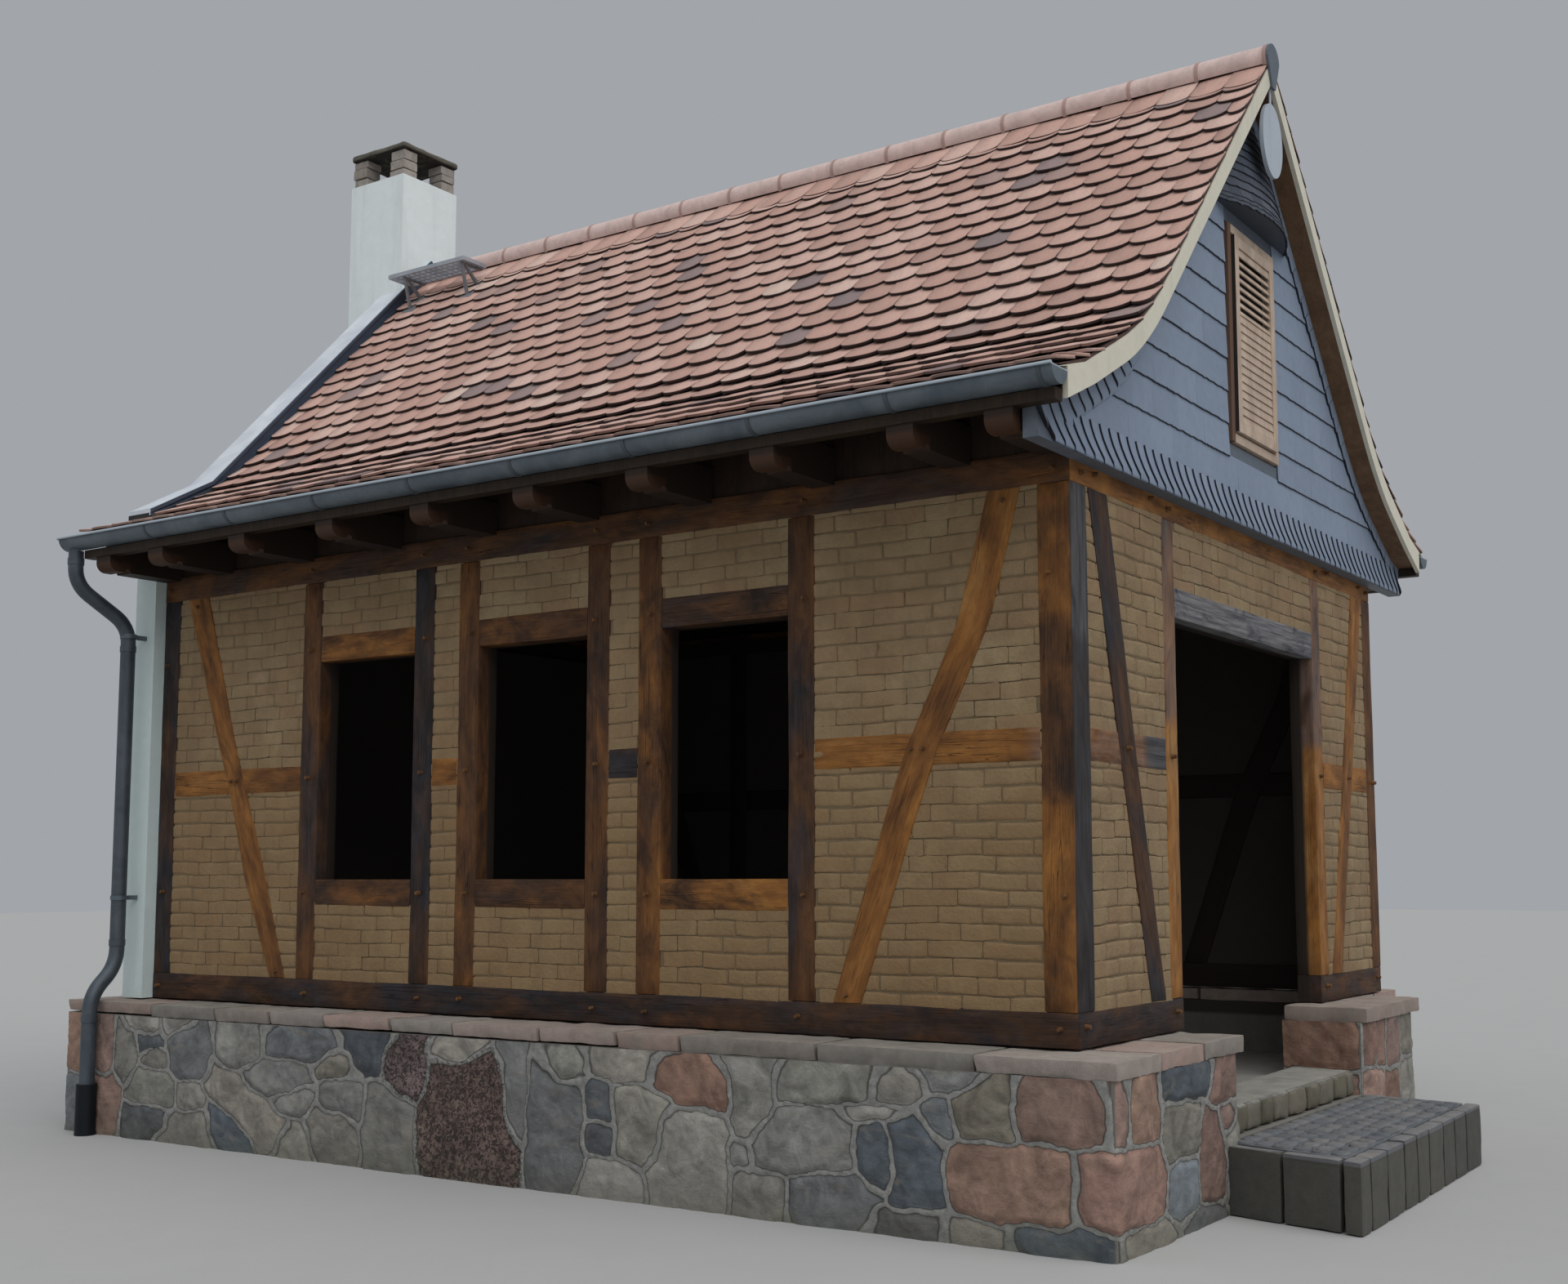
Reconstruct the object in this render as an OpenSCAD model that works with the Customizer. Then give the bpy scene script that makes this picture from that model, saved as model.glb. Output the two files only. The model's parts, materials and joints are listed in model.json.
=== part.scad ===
// Small half-timbered house on a rubble plinth, with a bell-cast tiled roof,
// a slated gable over a wide doorway and a rendered fire wall with a chimney.
// Units: millimetres. Up is +Z. The ridge runs along X, the door gable faces +X
// and the long wall with three windows faces -Y. The underside rests on Z = 0.

/* [Timber frame] */
// length of the timber frame along the ridge
frame_l = 6110; // [4890:1:7520]
// width of the timber frame across the ridge
frame_w = 4180; // [3380:1:5260]
// depth of the wall timbers, front to back
timber_d = 140; // [110:1:190]
// width of the wall posts
post_w = 150; // [110:1:190]
// width of the square corner posts
corner_w = 160; // [130:1:210]
// height of the sill beams
sill_h = 150; // [110:1:210]
// height from the underside of the sill to the underside of the wall plate
wall_h = 2378; // [2070:1:2820]
// height of the wall plates
plate_h = 150; // [110:1:210]
// how far the brick infill sits behind the face of the timber
infill_back = 8; // [2:1:30]

/* [Windows and rails] */
// clear width of each window opening
window_w = 752; // [560:1:940]
// height of the window rail's top above the underside of the sill beam
window_low = 701; // [560:1:940]
// height of the window head's underside above the underside of the sill beam
window_top = 1920; // [1690:1:2070]
// height of the rails between the posts
rail_h = 147; // [90:1:190]
// height of the mid rail's underside above the underside of the sill beam
mid_rail_low = 1194; // [940:1:1410]
// clear width of the bay at the chimney end
end_bay_w = 1124; // [850:1:1410]
// clear width of the narrow bays between the windows
narrow_bay_w = 184; // [110:1:380]

/* [Doorway] */
// distance from the front corner to the doorway
door_from_corner = 1105; // [850:1:1410]
// clear width of the doorway
door_w = 1965; // [1500:1:2260]
// width of the door posts
jamb_w = 141; // [110:1:190]

/* [Plinth] */
// height of the rubble plinth under its coping
plinth_h = 690; // [470:1:940]
// distance from the timber face to the plinth face
plinth_out = 282; // [90:1:380]
// thickness of the coping slabs
coping_t = 80; // [47:1:110]
// how far the coping slabs stand past the plinth
coping_out = 24; // [5:1:56]
// height of the floor inside above the ground
floor_top = 380; // [190:1:560]
// height of the sett-paved platform at the doorway
platform_h = 310; // [110:1:420]
// depth of the platform in front of the plinth
platform_d = 650; // [380:1:940]

/* [Roof] */
// height of the tile surface at the ridge above the underside of the sill beam
ridge_z = 5038; // [4230:1:5830]
// rise of the main slope for each unit of run
main_pitch = 1.09; // [0.8:0.01:1.4]
// rise of the bell-cast foot for each unit of run
foot_pitch = 0.53; // [0.35:0.01:0.7]
// distance of the slope change behind the front wall face
kick_y = 376; // [190:1:660]
// rise of the last tile courses at the eaves for each unit of run
eaves_pitch = 0.25; // [0.1:0.01:0.5]
// half length of the curved part between the two slopes
kick_r = 244; // [47:1:380]
// distance from the wall face to the lower edge of the tiles
eaves_out = 564; // [380:1:700]
// distance from the gable frame to the outer face of the verge board
verge_out = 203; // [90:1:330]
// upright thickness of the tile layer with its battens
tile_t = 58; // [47:1:100]
// upright thickness of the roof boarding
board_t = 24; // [17:1:38]
// upright depth of the verge boards
verge_depth = 99; // [75:1:170]

/* [Chimney and fire wall] */
// thickness of the rendered fire wall
fire_t = 188; // [110:1:280]
// how far the fire wall stands before the timber face
fire_out = 72; // [9:1:140]
// height of the parapet above the main slope, without its cap
parapet_h = 87; // [60:1:200]
// distance of the parapet's bend behind the front wall face
parapet_bend = 300; // [200:1:450]
// rise of the parapet below its bend for each unit of run
parapet_foot = 0.575; // [0.5:0.005:0.65]
// side of the chimney shaft along the ridge
chimney_l = 540; // [380:1:750]
// side of the chimney shaft across the ridge
chimney_w = 520; // [380:1:750]
// height of the shaft's top above the underside of the sill beam
chimney_z = 5729; // [5260:1:6390]

/* [Gutter and pipe] */
// outer radius of the half-round gutter
gutter_r = 70; // [47:1:90]
// outer radius of the downpipe
pipe_r = 43; // [28:1:56]

/* [Hidden] */
$fn = 48;
sliver = 0.01;

// main positions
x_door = frame_l / 2 + 47;
x_fire = x_door - frame_l;
y_front = -frame_w / 2;
y_back = frame_w / 2;
z0 = plinth_h + coping_t;
z_plate = z0 + wall_h;
z_joist = z_plate + plate_h;
joist_h = 150;
joist_w = 132;
x_plinth = x_door + plinth_out;
y_plinth = frame_w / 2 + plinth_out;
mid_rail_top = mid_rail_low + rail_h;
head_top = window_top + rail_h;

// left edges of the wall posts, from the chimney end to the door gable
post_1 = x_fire + post_w + end_bay_w;
post_2 = post_1 + post_w + window_w;
post_3 = post_2 + post_w + narrow_bay_w;
post_4 = post_3 + post_w + window_w;
post_5 = post_4 + post_w + narrow_bay_w;
post_6 = post_5 + post_w + window_w;
inner_posts = [post_1, post_2, post_3, post_4, post_5, post_6];
window_bays = [post_1 + post_w, post_3 + post_w, post_5 + post_w];
narrow_bays = [post_2 + post_w, post_4 + post_w];
x_last = x_door - corner_w;

// doorway edges
y_jamb_1 = y_front + door_from_corner;
y_jamb_2 = y_jamb_1 + door_w;

// roof line: height of the tile surface at a distance s behind the wall face
function main_z(s) = z0 + ridge_z - main_pitch * (frame_w / 2 - s);
kick_z = main_z(kick_y);
flat_y = -235;
function foot_z(s) =
  kick_z
  - foot_pitch * (kick_y - max(s, flat_y))
  - eaves_pitch * (flat_y - min(s, flat_y));
function blend(s) = (s - kick_y + kick_r) / (2 * kick_r);
function curve_z(s) = foot_z(s) + (main_pitch - foot_pitch) * kick_r * pow(blend(s), 2);
function tile_z(s) =
  s <= kick_y - kick_r ? foot_z(s) :
  s >= kick_y + kick_r ? main_z(s) : curve_z(s);
kick_steps = 8;
function line_s(from) = concat(
  [from],
  from < flat_y ? [flat_y] : [],
  [for (i = [0 : kick_steps]) kick_y - kick_r + 2 * kick_r * i / kick_steps],
  [frame_w / 2]
);
// points of the roof line from the eaves to the ridge, lowered by d
function roof_line(from, d) = [for (s = line_s(from)) [s, tile_z(s) - d]];
function roof_line_down(from, d) = [
  for (i = [len(line_s(from)) - 1 : -1 : 0]) [line_s(from)[i], tile_z(line_s(from)[i]) - d]
];

// straight parapet line with one bend, from the eaves to the ridge, raised by lift
function parapet_z(s) =
  main_z(max(s, parapet_bend)) + parapet_h - parapet_foot * (parapet_bend - min(s, parapet_bend));
function parapet_line(from, lift) = [
  for (s = [from, parapet_bend, frame_w / 2]) [s, parapet_z(s) + lift]
];
function parapet_line_down(from, lift) = [
  for (s = [frame_w / 2, parapet_bend, from]) [s, parapet_z(s) + lift]
];

// flat shape in the X-Z plane, given thickness from y = a to y = b
module wall_x(a, b) {
  translate([0, b, 0])
    rotate([90, 0, 0])
      linear_extrude(b - a)
        children();
}

// flat shape in the Y-Z plane, given thickness from x = a to x = b
module wall_y(a, b) {
  translate([a, 0, 0])
    rotate([90, 0, 90])
      linear_extrude(b - a)
        children();
}

module box(x1, x2, y1, y2, z1, z2) {
  translate([x1, y1, z1])
    cube([x2 - x1, y2 - y1, z2 - z1]);
}

module rect(x1, x2, z1, z2) {
  translate([x1, z1])
    square([x2 - x1, z2 - z1]);
}

// a shape drawn for the front half and again mirrored for the back half
module both_slopes() {
  children();
  mirror([0, 1, 0])
    children();
}

// flat band under the roof line of the front slope, in the Y-Z plane
module slope_band(from, top, bottom) {
  translate([y_front, 0])
    polygon(concat(roof_line(from, top), roof_line_down(from, bottom)));
}

// Plinth and coping

module plinth_long_walls() {
  color([0.5, 0.47, 0.43]) {
    box(-x_plinth, x_plinth, -y_plinth, y_front + timber_d, 0, plinth_h);
    box(-x_plinth, x_door, y_back - timber_d, y_plinth, 0, plinth_h);
  }
}

// opening in the gable plinth, a little narrower than the doorway
tread_t = 135;
tread_top = 446;
open_1 = y_front + 1006;
open_2 = y_front + 2825;
// beyond this line the gable plinth stands flush with the frame
y_block = y_front + 3780;

module plinth_end_walls() {
  x = x_door - timber_d;
  color([0.52, 0.47, 0.44]) {
    box(x, x_plinth, y_front + timber_d, open_1, 0, plinth_h);
    box(x, x_plinth, open_2, y_block, 0, plinth_h);
    box(x, x_door, open_2, y_back - timber_d, 0, plinth_h);
    box(x, x_plinth, open_1, open_2, 0, tread_top - tread_t);
    difference() {
      box(-x_plinth, x_fire, y_front + timber_d, y_back - timber_d, 0, plinth_h);
      chimney_block(-10, z0 + 94);
    }
  }
}

// coping slabs with open joints: rows along X, then the short sides
coping_cuts = [0.115, 0.2, 0.33, 0.47, 0.555, 0.68, 0.79, 0.905];
joint = 8;

module coping_row(x_end) {
  cx = x_plinth + coping_out;
  y1 = -y_plinth - coping_out;
  difference() {
    box(-cx, x_end, y1, y_front + timber_d, plinth_h, z0);
    for (c = coping_cuts)
      translate([-cx + 2 * cx * c, y1 - 5, plinth_h - 5])
        cube([joint, y_front + timber_d - y1 + 9, coping_t + 9]);
  }
}

module coping_slabs() {
  cx = x_plinth + coping_out;
  a = y_front + timber_d + joint;
  c = y_front + 602;
  d = y_block + 70;
  x = x_door - timber_d;
  color([0.66, 0.58, 0.53]) {
    coping_row(cx);
    mirror([0, 1, 0])
      coping_row(x_door);
    box(x, cx, a, c, plinth_h, z0);
    box(x, cx, c + joint, open_1 + 66, plinth_h, z0);
    box(x, cx + 24, open_2 + 10, d, plinth_h, z0);
    box(x, x_door, d + joint, -a, plinth_h, z0);
    difference() {
      box(-cx, x_fire, a, -a, plinth_h, z0);
      chimney_block(-10, z0 + 94);
      for (s = [0, 1])
        mirror([0, s, 0])
          box(-cx - 5, x_fire + 5, y_front + 940, y_front + 940 + joint, plinth_h - 5, z0 + 5);
    }
  }
}

// Doorway steps and floor

module door_tread() {
  color([0.6, 0.58, 0.54])
    box(x_door - timber_d, x_plinth - 20, open_1, open_2, tread_top - tread_t, tread_top);
}

platform_1 = y_front + 861;
platform_2 = y_front + 2960;

// the platform widens towards the front corner; in is the width of the edging
module platform_outline(in) {
  polygon([
    [x_plinth, platform_1 + in],
    [x_plinth + platform_d - in, platform_1 - 169 + in],
    [x_plinth + platform_d - 44 - in, platform_2 - 105 - in],
    [x_plinth, platform_2 - in]
  ]);
}

module platform_edging() {
  color([0.42, 0.43, 0.45])
    difference() {
      linear_extrude(platform_h)
        difference() {
          platform_outline(0);
          translate([-1, 0])
            platform_outline(89);
        }
      for (i = [1 : 2], y = [platform_1 - 200, platform_2 - 250])
        translate([x_plinth + i * 262 - 3, y, 141])
          cube([6, 320, platform_h]);
      for (i = [0 : 8])
        translate([x_plinth + platform_d - 150, platform_1 + i * 235, 141])
          cube([175, 6, platform_h]);
    }
}

module platform_bed() {
  color([0.45, 0.46, 0.48])
    linear_extrude(platform_h - 8)
      platform_outline(89);
}

module floor_slab() {
  color([0.5, 0.5, 0.5])
    difference() {
      box(x_fire, x_door - timber_d, y_front + timber_d, y_back - timber_d, 0, floor_top);
      chimney_block(-10, z0 + 94);
    }
}

// Timber frame

module sill_beams() {
  x = x_door - timber_d;
  color([0.36, 0.29, 0.24]) {
    for (s = [0, 1])
      mirror([0, s, 0])
        box(x_fire, x_door, y_front, y_front + timber_d, z0, z0 + sill_h);
    box(x, x_door, y_front + timber_d, y_jamb_1, z0, z0 + sill_h);
    box(x, x_door, y_jamb_2, y_back - timber_d, z0, z0 + sill_h);
  }
}

module upright(x, w, y1, y2) {
  box(x, x + w, y1, y2, z0 + sill_h, z_plate);
}

module corner_posts() {
  color([0.45, 0.32, 0.22])
    for (s = [0, 1])
      mirror([0, s, 0]) {
        upright(x_fire, post_w, y_front, y_front + timber_d);
        upright(x_last, corner_w, y_front, y_front + corner_w);
      }
}

module wall_posts() {
  color([0.5, 0.36, 0.24])
    for (x = inner_posts, s = [0, 1])
      mirror([0, s, 0])
        upright(x, post_w, y_front, y_front + timber_d);
}

module door_posts() {
  color([0.55, 0.4, 0.27]) {
    box(x_door - timber_d, x_door, y_jamb_1 - jamb_w, y_jamb_1, z0 + sill_h, z_plate);
    box(x_door - timber_d, x_door, y_jamb_2, y_jamb_2 + jamb_w, z0 + sill_h, z_plate);
  }
}

// rails given by their height above the underside of the sill beams
module rail_x(x1, x2, low, high) {
  rect(x1, x2, z0 + low, z0 + high);
}

module window_rails() {
  color([0.52, 0.4, 0.28])
    wall_x(y_front, y_front + timber_d)
      for (x = window_bays) {
        rail_x(x, x + window_w, window_low - rail_h, window_low);
        rail_x(x, x + window_w, window_top, head_top);
      }
}

// naturally bent braces, drawn in the plane of their wall
module brace_left_2d() {
  polygon([
    [x_fire + 222, z_plate], [x_fire + 551, z0 + 1478], [x_fire + 663, z0 + 1196],
    [x_fire + 823, z0 + 688], [x_fire + 1058, z0 + sill_h],
    [x_fire + 1186, z0 + sill_h], [x_fire + 1007, z0 + 689], [x_fire + 820, z0 + 1197],
    [x_fire + 739, z0 + 1352], [x_fire + 413, z_plate]
  ]);
}

module brace_right_2d() {
  polygon([
    [x_door - 402, z_plate], [x_door - 555, z0 + 1818], [x_door - 851, z0 + 1213],
    [x_door - 1215, z0 + sill_h], [x_door - 1064, z0 + sill_h],
    [x_door - 691, z0 + 1206], [x_door - 393, z0 + 1805], [x_door - 240, z_plate]
  ]);
}

module gable_brace_2d() {
  polygon([
    [y_front + 171, z_plate], [y_front + 451, z0 + 1267], [y_front + 743, z0 + sill_h],
    [y_front + 904, z0 + sill_h], [y_front + 625, z0 + 1267], [y_front + 365, z_plate]
  ]);
}

// mid rails of a long wall: end bays and narrow bays
module long_wall_rails_2d() {
  difference() {
    union() {
      rail_x(x_fire + post_w, post_1, mid_rail_low, mid_rail_top);
      rail_x(post_6 + post_w, x_last, mid_rail_low, mid_rail_top);
      for (x = narrow_bays)
        rail_x(x, x + narrow_bay_w, mid_rail_low, mid_rail_top);
    }
    brace_left_2d();
    brace_right_2d();
  }
}

module mid_rails() {
  color([0.55, 0.42, 0.28]) {
    for (s = [0, 1])
      mirror([0, s, 0])
        wall_x(y_front, y_front + timber_d)
          long_wall_rails_2d();
    wall_x(y_back - timber_d, y_back)
      for (x = window_bays)
        rail_x(x, x + window_w, mid_rail_low, mid_rail_top);
    wall_y(x_door - timber_d, x_door)
      for (s = [0, 1])
        mirror([s, 0])
          difference() {
            rail_x(y_front + corner_w, y_jamb_1 - jamb_w, mid_rail_low, mid_rail_top);
            gable_brace_2d();
          }
  }
}

module braces() {
  color([0.48, 0.36, 0.27]) {
    for (s = [0, 1])
      mirror([0, s, 0])
        wall_x(y_front, y_front + timber_d) {
          brace_left_2d();
          brace_right_2d();
        }
    wall_y(x_door - timber_d, x_door)
      for (s = [0, 1])
        mirror([s, 0])
          gable_brace_2d();
  }
}

module door_lintel() {
  color([0.45, 0.43, 0.42])
    wall_y(x_door - timber_d, x_door)
      rail_x(y_jamb_1, y_jamb_2, window_top, head_top);
}

module wall_plates() {
  x = x_door - timber_d;
  color([0.42, 0.31, 0.23]) {
    for (s = [0, 1])
      mirror([0, s, 0])
        box(x_fire, x_door, y_front, y_front + timber_d, z_plate, z_joist);
    box(x, x_door, y_front + timber_d, y_back - timber_d, z_plate, z_joist);
  }
}

// Brick infill

module long_wall_timber_2d() {
  for (x = inner_posts)
    rect(x, x + post_w, z0, z_plate);
  long_wall_rails_2d();
  brace_left_2d();
  brace_right_2d();
}

module infill_long_walls() {
  color([0.64, 0.57, 0.44]) {
    wall_x(y_front + infill_back, y_front + timber_d - infill_back)
      difference() {
        rect(x_fire + post_w, x_last, z0 + sill_h, z_plate);
        long_wall_timber_2d();
        for (x = window_bays)
          rail_x(x, x + window_w, window_low - rail_h, head_top);
      }
    wall_x(y_back - timber_d + infill_back, y_back - infill_back)
      difference() {
        rect(x_fire + post_w, x_last, z0 + sill_h, z_plate);
        long_wall_timber_2d();
        for (x = window_bays)
          rail_x(x, x + window_w, mid_rail_low, mid_rail_top);
      }
  }
}

module infill_gable() {
  color([0.64, 0.57, 0.44])
    wall_y(x_door - timber_d + infill_back, x_door - infill_back) {
      for (s = [0, 1])
        mirror([s, 0])
          difference() {
            rect(y_front + corner_w, y_jamb_1 - jamb_w, z0 + sill_h, z_plate);
            rail_x(y_front, y_jamb_1, mid_rail_low, mid_rail_top);
            gable_brace_2d();
          }
      rect(y_jamb_1, y_jamb_2, z0 + head_top, z_plate);
    }
}

// Fire wall and chimney

x_chimney = x_fire - 5 - chimney_l;

module chimney_block(z1, z2) {
  box(x_chimney, x_chimney + chimney_l, -chimney_w / 2, chimney_w / 2, z1, z2);
}

module fire_wall() {
  color([0.83, 0.84, 0.82])
    difference() {
      both_slopes()
        wall_y(x_fire - fire_t, x_fire)
          translate([y_front, 0])
            polygon(concat(
              [[-fire_out, z0]],
              parapet_line(-fire_out, 0),
              [[frame_w / 2, z0]]
            ));
      chimney_block(-10, z0 + chimney_z);
    }
}

// sheet-metal cap with an apron down to the tiles
cap_end = -fire_out - 66;
module parapet_cap() {
  color([0.8, 0.82, 0.84])
    difference() {
      both_slopes() {
        wall_y(x_fire - fire_t - 24, x_fire + 28)
          translate([y_front, 0])
            polygon(concat(parapet_line(cap_end, 23), parapet_line_down(cap_end, 0)));
        wall_y(x_fire, x_fire + 11)
          translate([y_front, 0])
            polygon(concat(parapet_line(cap_end, 1), roof_line_down(cap_end, -8)));
        wall_y(x_fire + 11, x_fire + 28)
          slope_band(cap_end, -20, -8);
      }
      chimney_block(-10, z0 + chimney_z);
    }
}

module chimney_shaft() {
  color([0.84, 0.85, 0.83])
    difference() {
      chimney_block(0, z0 + chimney_z);
      translate([x_chimney + chimney_l / 2 - 118, -118, 376])
        cube([235, 235, chimney_z + z0]);
    }
}

pier_z = 193;
module chimney_piers() {
  color([0.5, 0.42, 0.38])
    for (i = [0, 1], j = [0, 1])
      translate([
        x_chimney + 8 + i * (chimney_l - 16 - 140),
        -chimney_w / 2 + 8 + j * (chimney_w - 16 - 136),
        z0 + chimney_z
      ])
        cube([140, 136, pier_z]);
}

module chimney_cap() {
  z = z0 + chimney_z + pier_z;
  color([0.45, 0.4, 0.37])
    difference() {
      box(x_chimney - 12, x_chimney + chimney_l + 12,
        -chimney_w / 2 - 12, chimney_w / 2 + 12, z, z + 75);
      for (s = [0, 1])
        mirror([0, s, 0])
          translate([x_chimney - 94, -chimney_w / 2 - 13, z + 42])
            rotate([7, 0, 0])
              cube([chimney_l + 188, chimney_w, 188]);
    }
}

// Ceiling joists, attic floor and rafters

joist_pitch = 714;
joist_xs = concat(
  [x_fire + post_w / 2, x_door - corner_w / 2],
  [for (i = [0 : 7]) x_door - 548 - joist_pitch * i]
);
tail_out = 486;
foot_out = 428;
z_plank = z0 + 2594;

// side view of the front half of one joist with its shaped tail
module joist_2d() {
  low = z_joist - 24;
  difference() {
    polygon([
      [y_front - tail_out, low + 56],
      [y_front - tail_out, z_plank],
      [y_front - foot_out, z_plank],
      [y_front - foot_out, z_joist + joist_h],
      [0, z_joist + joist_h],
      [0, z_joist],
      [y_front, z_joist],
      [y_front, low],
      [y_front - tail_out + 56, low],
      [y_front - tail_out + 56, low + 56]
    ]);
    translate([y_front - 368, low])
      circle(r = 21);
  }
  intersection() {
    translate([y_front - tail_out + 56, low + 56])
      circle(r = 56);
    rect(y_front - tail_out, y_front - tail_out + 56, low, low + 56);
  }
}

module ceiling_joists() {
  color([0.42, 0.31, 0.23])
    for (x = joist_xs)
      both_slopes()
        wall_y(x - joist_w / 2, x + joist_w / 2)
          joist_2d();
}

// boards that close the eaves between the joists and the rafters
module eaves_filling() {
  y1 = 19;
  y2 = 43;
  d = tile_t + board_t;
  color([0.4, 0.31, 0.24])
    both_slopes()
      difference() {
        wall_y(x_fire, x_door)
          translate([y_front, 0])
            polygon([[y1, z_joist], [y2, z_joist], [y2, tile_z(y2) - d], [y1, tile_z(y1) - d]]);
        for (x = joist_xs) {
          box(x - joist_w / 2, x + joist_w / 2, y_front, y_front + 56, z_joist - 5, z_joist + joist_h);
          box(x - rafter_w / 2, x + rafter_w / 2, y_front, y_front + 56, z_joist, z_joist + 564);
        }
      }
}

rafter_d = 188;
rafter_w = 84;
floor_z = z_joist + joist_h;
under_tiles = tile_t + board_t;

// where the straight top of the rafters meets the joists
rafter_s = frame_w / 2 - (z0 + ridge_z - under_tiles - floor_z) / main_pitch;

module rafters() {
  top = z0 + ridge_z - under_tiles;
  color([0.55, 0.43, 0.3])
    for (x = joist_xs)
      both_slopes()
        wall_y(x - rafter_w / 2, x + rafter_w / 2)
          translate([y_front, 0])
            polygon([
              [rafter_s, floor_z], [frame_w / 2, top],
              [frame_w / 2, top - rafter_d], [rafter_s + rafter_d / main_pitch, floor_z]
            ]);
}

// wedges on the rafters that carry the flatter foot of the roof
module sprockets() {
  s_end = kick_y + kick_r;
  points = [for (s = line_s(-foot_out)) if (s < s_end - 1) [s, tile_z(s) - under_tiles]];
  color([0.6, 0.48, 0.34])
    for (x = joist_xs)
      both_slopes()
        wall_y(x - rafter_w / 2, x + rafter_w / 2)
          translate([y_front, 0])
            polygon(concat(
              points,
              [[s_end, main_z(s_end) - under_tiles]],
              [[rafter_s, floor_z], [-foot_out, floor_z]]
            ));
}

// Roof covering

x_verge = x_door + verge_out;
x_left_eaves = x_fire - 97;

module roof_boarding() {
  color([0.6, 0.5, 0.36])
    both_slopes() {
      wall_y(x_fire, x_verge - 24)
        slope_band(-foot_out, tile_t, tile_t + board_t);
      wall_y(x_left_eaves, x_fire)
        translate([y_front, 0])
          polygon([
            [-foot_out, tile_z(-foot_out) - tile_t],
            [flat_y, tile_z(flat_y) - tile_t],
            [-fire_out, tile_z(-fire_out) - tile_t],
            [-fire_out, tile_z(-fire_out) - tile_t - board_t],
            [flat_y, tile_z(flat_y) - tile_t - board_t],
            [-foot_out, tile_z(-foot_out) - tile_t - board_t]
          ]);
    }
}

// the tile layer is thinner where it hangs over the gutter
edge_t = 28;
tiles_foot = [[-foot_out, tile_z(-foot_out) - tile_t], [-eaves_out, tile_z(-eaves_out) - edge_t]];

module tile_layer() {
  wall_y(x_fire, x_verge)
    translate([y_front, 0])
      polygon(concat(roof_line(-eaves_out, 0), roof_line_down(-foot_out, tile_t), [tiles_foot[1]]));
  wall_y(x_left_eaves, x_fire)
    translate([y_front, 0])
      polygon(concat(
        [[-eaves_out, tile_z(-eaves_out)], [flat_y, tile_z(flat_y)]],
        [[-fire_out, tile_z(-fire_out)], [-fire_out, tile_z(-fire_out) - tile_t]],
        [[flat_y, tile_z(flat_y) - tile_t]],
        tiles_foot
      ));
}

module roof_tiles_front() {
  color([0.68, 0.44, 0.36])
    tile_layer();
}

module roof_tiles_back() {
  color([0.68, 0.44, 0.36])
    mirror([0, 1, 0])
      tile_layer();
}

ridge_r = 69;
ridge_len = 387;
module ridge_tiles() {
  zc = z0 + ridge_z - 32;
  x1 = x_fire + 28;
  n = floor((x_verge - x1) / ridge_len);
  len1 = (x_verge - x1) / n;
  color([0.7, 0.46, 0.38])
    difference() {
      for (i = [0 : n - 1])
        translate([x1 + i * len1 + 2, 0, zc])
          rotate([0, 90, 0])
            cylinder(r = ridge_r + 11, h = len1 - 4);
      both_slopes()
        wall_y(x1 - 9, x_verge + 9)
          translate([y_front, 0])
            polygon([
              [frame_w / 2 + 1, z0],
              [frame_w / 2 + 1, z0 + ridge_z],
              [frame_w / 2, z0 + ridge_z],
              [0, z0 + ridge_z - main_pitch * frame_w / 2],
              [0, z0]
            ]);
    }
}

// Verge, eaves and slated gable

module verge_boards() {
  color([0.85, 0.81, 0.7])
    both_slopes()
      wall_y(x_verge - 24, x_verge)
        translate([y_front, 0])
          polygon(concat(
            [[-423, tile_z(-423) - tile_t]],
            roof_line(-226, tile_t),
            roof_line_down(-169, tile_t + verge_depth),
            [[-423, z0 + 2608]]
          ));
}

module verge_soffit() {
  color([0.5, 0.36, 0.24])
    both_slopes()
      wall_y(x_door + 52, x_verge - 24)
        slope_band(-414, tile_t + verge_depth - 19, tile_t + verge_depth);
}

module eaves_boards() {
  color([0.55, 0.47, 0.34])
    both_slopes()
      box(x_left_eaves, x_verge - 24, y_front - tail_out - 9, y_front - foot_out, z_plank, z_plank + 49);
}

slate_t = 52;
slate_low = 2471;
band_h = 175;

module gable_slating() {
  d = tile_t + board_t;
  color([0.52, 0.57, 0.63])
    difference() {
      both_slopes()
        wall_y(x_door, x_door + slate_t)
          translate([y_front, 0])
            polygon(concat(
              [[-foot_out, z0 + slate_low + band_h]],
              roof_line(-foot_out, d),
              [[frame_w / 2, z0 + slate_low + band_h]]
            ));
      box(x_door - 9, x_door + slate_t + 9,
        shutter_y - shutter_w / 2 - 11, shutter_y + shutter_w / 2 + 11,
        z0 + shutter_low - 11, z0 + shutter_low + shutter_h + 11);
    }
}

module slate_foot_band() {
  color([0.5, 0.55, 0.62])
    for (s = [0, 1])
      mirror([0, s, 0])
        wall_x(y_front - foot_out, 0)
          polygon([
            [x_door, z0 + slate_low],
            [x_door + slate_t + 21, z0 + slate_low],
            [x_door + slate_t, z0 + slate_low + band_h],
            [x_door, z0 + slate_low + band_h]
          ]);
}

hood_z = 4122;
hood_half = 536;
hood_out = 136;
module gable_hood() {
  r1 = (pow(hood_half, 2) + pow(hood_out, 2)) / (2 * hood_out);
  r2 = r1 - hood_out;
  x = x_door + slate_t + hood_out - r1;
  color([0.42, 0.46, 0.52])
    difference() {
      translate([x, 0, z0 + hood_z])
        cylinder(r1 = r1, r2 = r2, h = 602, $fn = 360);
      translate([x - 2 * r1, -2 * r1, 0])
        cube([2 * r1 + x_door + slate_t - x, 4 * r1, 2 * z0 + 2 * hood_z]);
    }
}

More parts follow.
